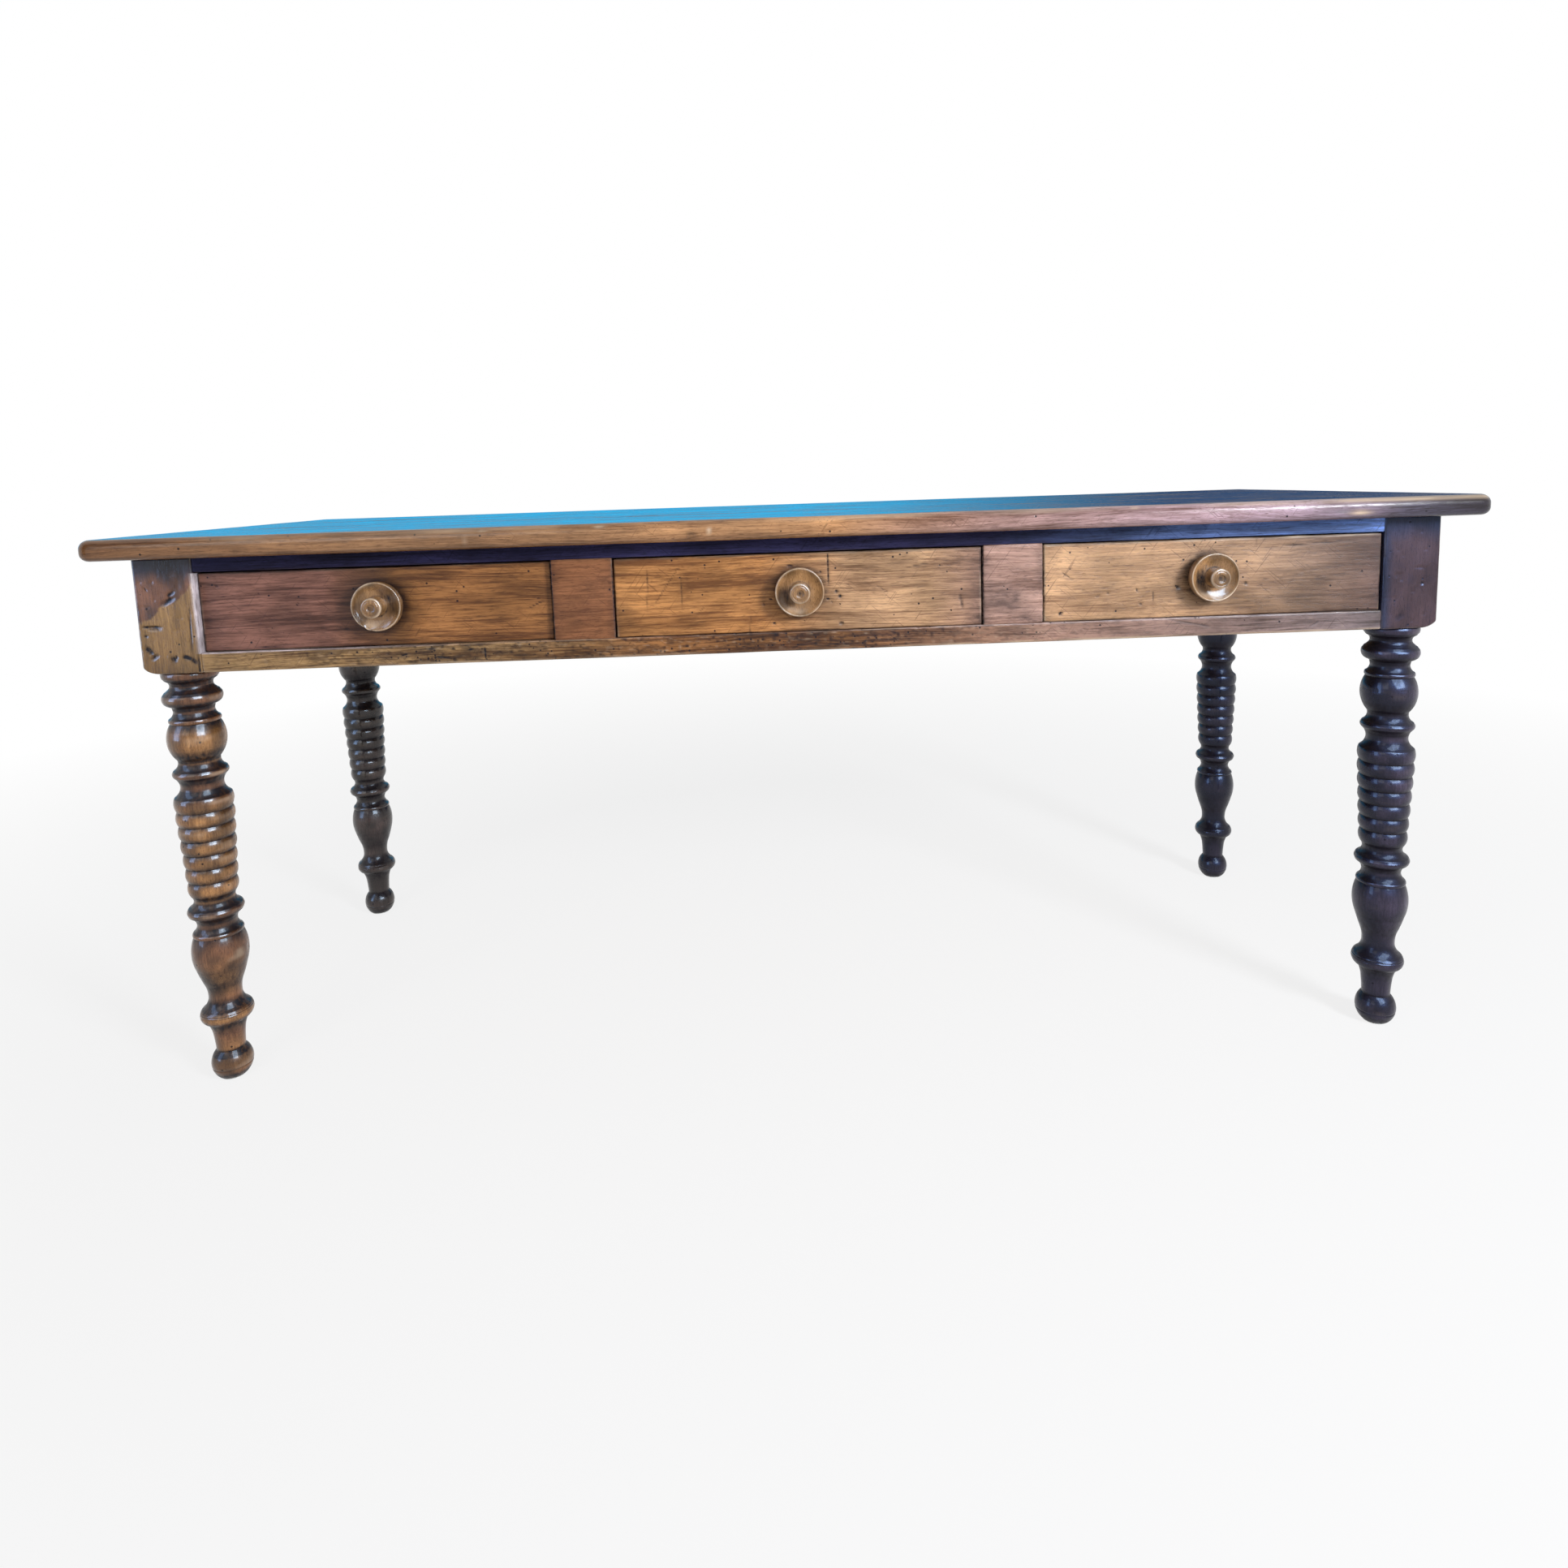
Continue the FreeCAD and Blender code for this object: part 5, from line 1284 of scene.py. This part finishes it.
class TABLE_OT_drawer_fronts(bpy.types.Operator):
    """Makes the three drawer fronts with the dirt round their knobs"""

    bl_idname = "table.dress_drawer_fronts"
    bl_label = "Drawer fronts"

    SIDE_ROOM = 0.15
    # Calm of the grain, soot round the knob, and wear on the edges that is partly a painted highlight.
    LOOKS = {"left": (-0.6, 0.6, 0.25), "centre": (-0.3, 0.34, 0.5), "right": (0.1, 0.25, 0.95)}

    def front_wear(self, low, high, knob, soot, worn):
        """Wear of one front: grime round its knob, grime and painted shade along its rim, bare wood and
        painted highlights on its edges.
        """

        def grubby(points, out, worm, dirt_and_shade, rubbed_and_glint, stain):
            x, _, z = points.T
            facing = front_facing(out)
            from_knob = np.hypot(x - knob[0], z - knob[2])
            off_side = np.hypot(x - knob[0] + 9, z - knob[2])
            ragged = 0.55 + 0.9 * mottle(points, (16, 16, 9), 3)
            soft = np.clip(1 - (off_side - 30) / (36 * ragged), 0, 1)
            stain = stain * (1 - soot * soft)[:, None]
            halo = 0.6 * np.clip(1 - (from_knob - 31) / (9 * ragged), 0, 1)
            rim_x = np.minimum(x - low[0], high[0] - x)
            rim_z = np.minimum(z - low[2], high[2] - z)
            # Darker in the corners and in the gaps round the front: painted shade.
            corner = 0.5 * bump_at(np.minimum(rim_x, rim_z), 0, 3.5) * mottle(points, (40, 40, 18), 14)
            gap_shadow = bump_at(np.minimum(rim_x / 2.3, rim_z), 0, 1)
            gap_shadow = gap_shadow * (0.65 + 0.35 * mottle(points, (30, 30, 30), 13))
            corner = np.maximum(corner, gap_shadow) * np.clip(2 * facing, 0, 1)
            sides = 0.6 * bump_at(rim_x, 0, 20) * mottle(points, (26, 26, 30), 15)
            smear = 0.3 * patches(points, (90, 60, 22), 21, 2.4, 1.5)
            dirt_and_shade = np.maximum.reduce((dirt_and_shade, halo * facing, corner, sides * facing, smear * facing))
            # The top edge and the sides are lighter: worn, and partly painted highlights.
            top_edge = bump_at(z, high[2], 1.6) * patches(points, (24, 24, 24), 17, 2, 0.6)
            upright = bump_at(rim_x, 1.8, 0.9) * facing * patches(points, (14, 14, 30), 19, 2, 0.6)
            rubbed_and_glint = np.maximum.reduce((rubbed_and_glint, top_edge * worn, upright * 0.6 * worn))
            return worm + 0.02, dirt_and_shade, rubbed_and_glint, stain

        return grubby

    def execute(self, context):
        tone = tones()
        golden, amber, reddish, pale, rosy = tone.golden, tone.amber, tone.reddish, tone.pale, tone.rosy
        # Colours by share of the width from the left. The pale wood stands partly for a painted sheen, and
        # the right drawer's darker bluish right end is painted shade.
        woods = {
            "left": [
                (0, reddish * 1.15), (0.35, reddish * 1.15), (0.55, amber * 0.8), (0.75, amber),
                (1, amber * 0.92),
            ],
            "centre": [
                (0, golden * 1.05), (0.4, golden * 1.42), (0.62, pale * 0.92), (0.85, pale * 0.9),
                (1, rosy * 0.8),
            ],
            "right": [
                (0, pale), (0.45, pale * 0.95), (0.75, pale * (0.44, 0.45, 0.52)),
                (1, rosy * (0.36, 0.37, 0.42)),
            ],
        }
        for seed, (side, (calm, soot, worn)) in enumerate(self.LOOKS.items(), start=81):
            node = f"drawer_{side}_front"
            low, high = solid_box(node)
            low[0] += self.SIDE_ROOM
            high[0] -= self.SIDE_ROOM
            knob = np.mean(solid_box(f"drawer_{side}_knob"), axis=0)
            stops = [(low[0] + share * (high[0] - low[0]), wood) for share, wood in woods[side]]
            faced_board(
                node, f"drawer_{side}", (low, high), (2, 5.5, 2), "x", seed,
                stops, DRAWER_MARKS[side], self.front_wear(low, high, knob, soot, worn), calm=calm,
            )
        return {"FINISHED"}


class TABLE_OT_knobs(bpy.types.Operator):
    """Makes the three turned knobs"""

    bl_idname = "table.dress_knobs"
    bl_label = "Knobs"

    SIDES = 120
    STEP = 0.7
    # Side of each dish that is painted darker, as painted shade and dark reflection: across, up, amount.
    DISH_SHADE_SIDE = {"left": (0.9, 0.45, 0.8), "centre": (-0.85, -0.5, 0.7), "right": (-1, -0.1, 1)}

    def execute(self, context):
        wood = tones().knob
        rows = np.concatenate((outline(KNOB_OUTLINE, self.STEP), [(0, -HIDDEN_CAP)]))
        for seed, (side, (aside, above, amount)) in enumerate(self.DISH_SHADE_SIDE.items(), start=91):
            node = f"drawer_{side}_knob"
            face = solid_box(f"drawer_{side}_front")[0][1]
            middle = np.mean(solid_box(node), axis=0)
            points, faces, row_of = spun(rows, self.SIDES)
            out = directions(points, faces)
            radius, level = rows[row_of].T
            x, y, z = points.T
            deep = bump_at(radius, 13.4, 1.6) * bump_at(level, 15.4, 1.5)
            eye = bump_at(radius, 0, 5) * (level > 30)
            flank = (level < 14) & (radius > 12)
            rim = bump_at(radius, 31, 1.3) * (level > 19)
            ring = bump_at(radius, 12.4, 1.2) * (level > 33)
            reach = np.maximum(np.hypot(x, y), TINY)
            bowl = (reach > 13) & (reach < 30.5) & (z > 14.6)
            # Painted shade on one side of the dish, and a painted highlight low in it.
            dish_shade = amount * np.clip((aside * x + above * y) / reach, 0, 1) ** 1.5 * bump_at(reach, 18, 8)
            dish_highlight = np.clip(-(0.3 * x + y) / reach, 0, 1) ** 3 * bump_at(reach, 26, 4)
            loss = patches(points, (6, 6, 6), seed, 3, 2.2) * 0.5 * (rim + ring)
            if side == "left":
                chip = bump_at(x, -12, 6) * bump_at(y, -28, 3.4)
                loss = loss + 2.6 * chip * (z > 14)
            points = points - out * loss[:, None]
            spots = 0.35 * mottle(points, (9, 9, 9), seed + 1)
            dirt_and_shade = np.maximum.reduce((0.7 * deep, 0.75 * eye, 0.6 * flank, bowl * dish_shade, spots))
            rubbed_and_glint = np.maximum(rim, ring) * (0.5 + 0.6 * mottle(points, (12, 12, 12), seed + 2))
            rubbed_and_glint = np.maximum(rubbed_and_glint, 0.35 * bowl * dish_highlight)
            stain = wood * (0.4 + 1.2 * mottle(points, (14, 12, 14), seed + 4))[:, None]
            grain = grained(points, "y", seed)
            placed = np.stack((middle[0] + points[:, 0], face - points[:, 2], middle[2] + points[:, 1]), 1)
            dressed(
                node, f"drawer_{side}", "polished_knob", placed, faces,
                grain, stain, pack_patina_and_light(0.01, dirt_and_shade, rubbed_and_glint), 50,
            )
        return {"FINISHED"}


class TABLE_OT_fittings(bpy.types.Operator):
    """Makes the pegs and foot pads, and finishes the screws and nails"""

    bl_idname = "table.dress_fittings"
    bl_label = "Pegs, pads and screws"

    PEG_SIDES = 24
    PEG_STEP = 1.2
    PEG_PROUD = 0.7
    PEG_DEPTH = 9
    PAD_SIDES = 48
    PAD_STEP = 2
    METAL_CHAMFER = 0.0003

    def islands(self, node):
        """Middle and half size of each loose solid in a node, in millimetres."""
        mesh = frame["nodes"][node].data
        places = np.array([v.co for v in mesh.vertices]) / MM
        places, edges = weld(places, np.array([e.vertices[:] for e in mesh.edges]))
        group = np.arange(len(places))
        while True:
            least = group.copy()
            np.minimum.at(least, edges[:, 0], group[edges[:, 1]])
            np.minimum.at(least, edges[:, 1], least[edges[:, 0]])
            if (least == group).all():
                break
            group = least
        found = []
        for label in np.unique(group):
            part = places[group == label]
            found.append(((part.min(0) + part.max(0)) / 2, (part.max(0) - part.min(0)) / 2))
        return found

    def gathered(self, node, slot, material, shapes, stain):
        """Joins like pieces into one that stands for a node."""
        points, faces, first = [], [], 0
        for part, quads in shapes:
            points.append(part)
            faces.append(quads + first)
            first += len(part)
        points, faces = np.concatenate(points), np.concatenate(faces)
        stain = stain * (0.7 + 0.6 * mottle(points, (60, 60, 60), 3))[:, None]
        patina = pack_patina_and_light(np.zeros(len(points)), 0.15, 0)
        dressed(node, "frame", material, points, faces, grained(points, "z", 97), stain, patina, 35)

    def peg(self, middle, half):
        """A peg with a worn, slightly square end that stands proud of its leg."""
        axis = int(np.argmax(half))
        outward = 1 if middle[axis] > 0 else -1
        radius = np.sort(half)[1]
        tip = abs(middle[axis]) + half[axis] + self.PEG_PROUD
        corners = [
            ("line", 0, tip, 0), ("bead", radius * 0.86, tip - 0.25, 0.15), ("bead", radius, tip - 1.1, 0.2),
            ("line", radius, tip - self.PEG_DEPTH, 0), ("line", 0, tip - self.PEG_DEPTH, 0),
        ]
        points, faces, _ = spun(outline(corners, self.PEG_STEP), self.PEG_SIDES)
        points[:, :2] *= 1 + 0.06 * np.cos(4 * np.arctan2(points[:, 1], points[:, 0]))[:, None]
        placed = np.empty_like(points)
        others = [i for i in range(3) if i != axis]
        placed[:, axis] = outward * points[:, 2]
        placed[:, others] = middle[others] + points[:, :2]
        turned = outward * (1 if axis != 1 else -1) < 0
        return placed, faces[:, ::-1] if turned else faces

    def pad(self, middle, half):
        """A round pad with soft edges under one foot."""
        radius, tall = half[0], 2 * half[2]
        corners = [
            ("line", 0, tall, 0), ("line", radius * 0.96, tall, 0), ("bead", radius, tall * 0.5, 0.25),
            ("bead", radius * 0.96, 0, 0.25), ("line", 0, 0, 0),
        ]
        points, faces, _ = spun(outline(corners, self.PAD_STEP), self.PAD_SIDES)
        return points + (middle[0], middle[1], 0), faces

    def execute(self, context):
        tone = tones()
        pegs = [self.peg(*island) for island in self.islands("tenon_pegs")]
        self.gathered("tenon_pegs", "peg_wood", "polished_leg", pegs, tone.olive * 0.5)
        pads = [self.pad(*island) for island in self.islands("foot_glides")]
        self.gathered("foot_glides", "glide_felt", "pale_felt", pads, tone.felt)
        metal = finish("rusted_steel")
        for node, solid in frame["nodes"].items():
            if "screw" in node or "nails" in node:
                worked(solid, metal, self.METAL_CHAMFER)
        return {"FINISHED"}


class TABLE_OT_inner_wood(bpy.types.Operator):
    """Finishes the drawer boxes, the bearers and the buttons, whose solids stay"""

    bl_idname = "table.dress_inner_wood"
    bl_label = "Inner wood"

    KEPT = ("side_", "_back", "_bottom", "runner", "guide", "kicker", "stops", "buttons")
    LENGTHWAYS = ("_back", "_bottom", "drawer_stops")
    CHAMFER = 0.0007

    def execute(self, context):
        for node, solid in frame["nodes"].items():
            if solid.hide_render or not any(word in node for word in self.KEPT):
                continue
            lengthways = node.endswith(self.LENGTHWAYS)
            worked(solid, finish("bare_lengthways" if lengthways else "bare_crossways"), self.CHAMFER)
        return {"FINISHED"}


class TABLE_OT_stage(bpy.types.Operator):
    """Sets the floor, the lamps, the blue surroundings and the camera"""

    bl_idname = "table.set_stage"
    bl_label = "Stage"

    # Lamps: name, power, width and height, place, what they aim at, colour.
    LAMPS = (
        ("key_lamp", "key_power", (0.6, 0.75), (1.9, -2.2, 1.55), (-0.1, -0.2, 0.5), (0.95, 0.97, 1)),
        ("soft_lamp", "soft_power", (1.4, 1.4), (-1.5, -2.4, 1.8), (-0.3, -0.2, 0.5), (1, 0.96, 0.90)),
    )
    # Window-like cards: name, colour, strength, width and height, place, direction.
    WINDOWS = (
        ("window_right", "sheen_side", 26.0, (1.6, 2.4), (1.1, -1.9, 2.1), (-1.4, 1.9, -1.6)),
        ("window_left", "sheen_left", 10.0, (0.9, 2.2), (-2.3, -1.3, 1.3), (1.6, 1.1, -0.9)),
    )
    FLOOR_SIZE = (60, 60)
    # The floor is as good as white beyond the far distance from the table, and keeps its shadow near it.
    FLOOR_NEAR, FLOOR_FAR, FLOOR_WHITE = 1.0, 3.0, 0.82
    BLUE_SIZE, BLUE_PLACE, BLUE_STRENGTH = (14, 1.5), (0, 4, 1.4), 1.5
    BLUE_TURNS_DARK = (0.1, 2.4)

    def flat(self, name, width, depth, material):
        """A flat sheet on the stage."""
        mesh = bpy.data.meshes.new(name)
        x, y = width / 2, depth / 2
        mesh.from_pydata([(-x, -y, 0), (x, -y, 0), (x, y, 0), (-x, y, 0)], [], [(0, 1, 2, 3)])
        mesh.materials.append(material)
        made = bpy.data.objects.new(name, mesh)
        bpy.context.scene.collection.objects.link(made)
        return made

    def aimed(self, made, place, direction, front):
        """Puts a card or a lamp in its place, its front turned to a direction."""
        made.location = place
        made.rotation_mode = "QUATERNION"
        made.rotation_quaternion = Vector(direction).to_track_quat(front, "Y")

    def seen(self, tree):
        """1 for what the camera sees by itself, in gloss or through glass."""
        path = put(tree, "ShaderNodeLightPath").outputs
        share = maths(tree, "MAXIMUM", path["Is Camera Ray"], path["Is Glossy Ray"])
        return maths(tree, "MAXIMUM", share, path["Is Transmission Ray"])

    def floor(self, stage):
        """A pale floor that turns white away from the table."""
        material = bpy.data.materials.new("pale_floor")
        tree = empty_tree(material)
        place = table_place(tree)
        away = put(tree, "ShaderNodeVectorMath", {0: place}, operation="LENGTH").outputs["Value"]
        dust = spread(tree, streaks(tree, place, (30, 30, 30), 3, 0.5), 0.3, 0.7, 0.0, 0.03)
        colour = blended(tree, dust, rgba(stage.floor), FLOOR_DUST)
        matt = put(tree, "ShaderNodeBsdfDiffuse", {"Color": colour})
        white = put(tree, "ShaderNodeEmission", {"Color": WHITE, "Strength": 1.0})
        fade = spread(tree, away, self.FLOOR_NEAR, self.FLOOR_FAR, self.FLOOR_WHITE, 1.0)
        fade = maths(tree, "MULTIPLY", fade, self.seen(tree))
        mixed = put(tree, "ShaderNodeMixShader", {0: fade, 1: matt.outputs[0], 2: white.outputs[0]})
        put(tree, "ShaderNodeOutputMaterial", {"Surface": mixed.outputs[0]})
        self.flat("floor", *self.FLOOR_SIZE, material)

    def gloss_card(self, name, size, strength, colour_in):
        """A bright card that shows only as gloss; its colour is worked out in its node tree."""
        material = bpy.data.materials.new(name)
        tree = empty_tree(material)
        glow = put(tree, "ShaderNodeEmission", {"Color": colour_in(tree), "Strength": strength})
        put(tree, "ShaderNodeOutputMaterial", {"Surface": glow.outputs[0]})
        card = self.flat(name, *size, material)
        for kind in ("camera", "diffuse", "transmission", "shadow", "volume_scatter"):
            setattr(card, f"visible_{kind}", False)
        return card

    def window_card(self, name, colour, strength, size, place, direction):
        """A window-like card, which the polished wood mirrors, but not the top."""
        card = self.gloss_card(name, size, strength, lambda tree: rgba(colour))
        self.aimed(card, place, direction, "Z")
        spared = bpy.data.collections.new(f"{name}_spared")
        for index, board in enumerate(("front", "middle", "back")):
            spared.objects.link(bpy.data.objects[f"top_board_{board}_dressed"])
            spared.collection_objects[index].light_linking.link_state = "EXCLUDE"
        card.light_linking.receiver_collection = spared

    def blue_card(self, stage):
        """Blue surroundings behind the table, darker towards the right."""

        def colour_in(tree):
            across = put(tree, "ShaderNodeSeparateXYZ", {0: table_place(tree)}).outputs[0]
            start, end = self.BLUE_TURNS_DARK
            inputs = {"Value": across, "From Min": start, "From Max": end}
            share = put(tree, "ShaderNodeMapRange", inputs, interpolation_type="SMOOTHSTEP").outputs[0]
            return blended(tree, share, rgba(stage.sheen_near), rgba(stage.sheen_far))

        card = self.gloss_card("blue_surroundings", self.BLUE_SIZE, self.BLUE_STRENGTH, colour_in)
        card.rotation_euler = (math.radians(90), 0, 0)
        card.location = self.BLUE_PLACE

    def lamp(self, name, power, size, place, target, colour):
        """A soft rectangular lamp."""
        data = bpy.data.lights.new(name, "AREA")
        data.shape = "RECTANGLE"
        data.size, data.size_y = size
        data.energy = power
        data.color = colour
        made = bpy.data.objects.new(name, data)
        bpy.context.scene.collection.objects.link(made)
        self.aimed(made, place, Vector(target) - Vector(place), "-Z")

    def surroundings(self, scene, stage):
        """Even light from all sides, white where it is seen."""
        scene.world = bpy.data.worlds.new("studio")
        tree = empty_tree(scene.world)
        fill = put(tree, "ShaderNodeBackground", {"Color": FILL_LIGHT, "Strength": stage.fill})
        white = put(tree, "ShaderNodeBackground", {"Color": WHITE, "Strength": 1.0})
        inputs = {0: self.seen(tree), 1: fill.outputs[0], 2: white.outputs[0]}
        mixed = put(tree, "ShaderNodeMixShader", inputs)
        put(tree, "ShaderNodeOutputWorld", {"Surface": mixed.outputs[0]})

    def camera(self, scene):
        """The camera, where the photograph was taken from."""
        data = bpy.data.cameras.new("camera")
        data.sensor_width = CAMERA_SENSOR
        data.lens = CAMERA_LENS
        data.shift_x, data.shift_y = CAMERA_SHIFT
        data.clip_start = 0.01
        camera = bpy.data.objects.new("camera", data)
        scene.collection.objects.link(camera)
        right = Vector(CAMERA_RIGHT).normalized()
        back = -Vector(CAMERA_AHEAD).normalized()
        up = back.cross(right)
        turn = Matrix((right, up, back)).transposed().to_4x4()
        camera.matrix_world = Matrix.Translation(Vector(CAMERA_PLACE)) @ turn
        scene.camera = camera

    def execute(self, context):
        scene = context.scene
        stage = scene.table_stage
        scene.view_settings.view_transform = "Standard"
        self.floor(stage)
        self.blue_card(stage)
        for name, colour, *card in self.WINDOWS:
            self.window_card(name, getattr(stage, colour), *card)
        for name, power, *lamp in self.LAMPS:
            self.lamp(name, getattr(stage, power), *lamp)
        self.surroundings(scene, stage)
        self.camera(scene)
        return {"FINISHED"}


OPERATORS = (
    TABLE_OT_top,
    TABLE_OT_legs,
    TABLE_OT_front_frame,
    TABLE_OT_aprons,
    TABLE_OT_drawer_fronts,
    TABLE_OT_knobs,
    TABLE_OT_fittings,
    TABLE_OT_inner_wood,
    TABLE_OT_stage,
)
GROUPS = {"table_finishes": TableFinishes, "table_wear": TableWear, "table_stage": TableStage}


class TABLE_PT_sidebar(bpy.types.Panel):
    """Lists the pieces of the table and the values that shape them"""

    bl_idname = "TABLE_PT_sidebar"
    bl_label = "Farmhouse table"
    bl_space_type = "VIEW_3D"
    bl_region_type = "UI"
    bl_category = "Table"

    def draw(self, context):
        for operator in OPERATORS:
            self.layout.operator(operator.bl_idname)
        for label, group in GROUPS.items():
            box = self.layout.box()
            for name in group.__annotations__:
                box.prop(getattr(context.scene, label), name)


CLASSES = (*GROUPS.values(), *OPERATORS, TABLE_PT_sidebar)


def register():
    for made in CLASSES:
        bpy.utils.register_class(made)
    for label, group in GROUPS.items():
        setattr(bpy.types.Scene, label, bpy.props.PointerProperty(type=group))


def unregister():
    for label in GROUPS:
        delattr(bpy.types.Scene, label)
    for made in reversed(CLASSES):
        bpy.utils.unregister_class(made)


def main():
    register()
    for step in ("dress_top", "dress_legs", "dress_front_frame", "dress_aprons", "dress_drawer_fronts",
                 "dress_knobs", "dress_fittings", "dress_inner_wood", "set_stage"):
        getattr(bpy.ops.table, step)()


if __name__ == "__main__":
    main()
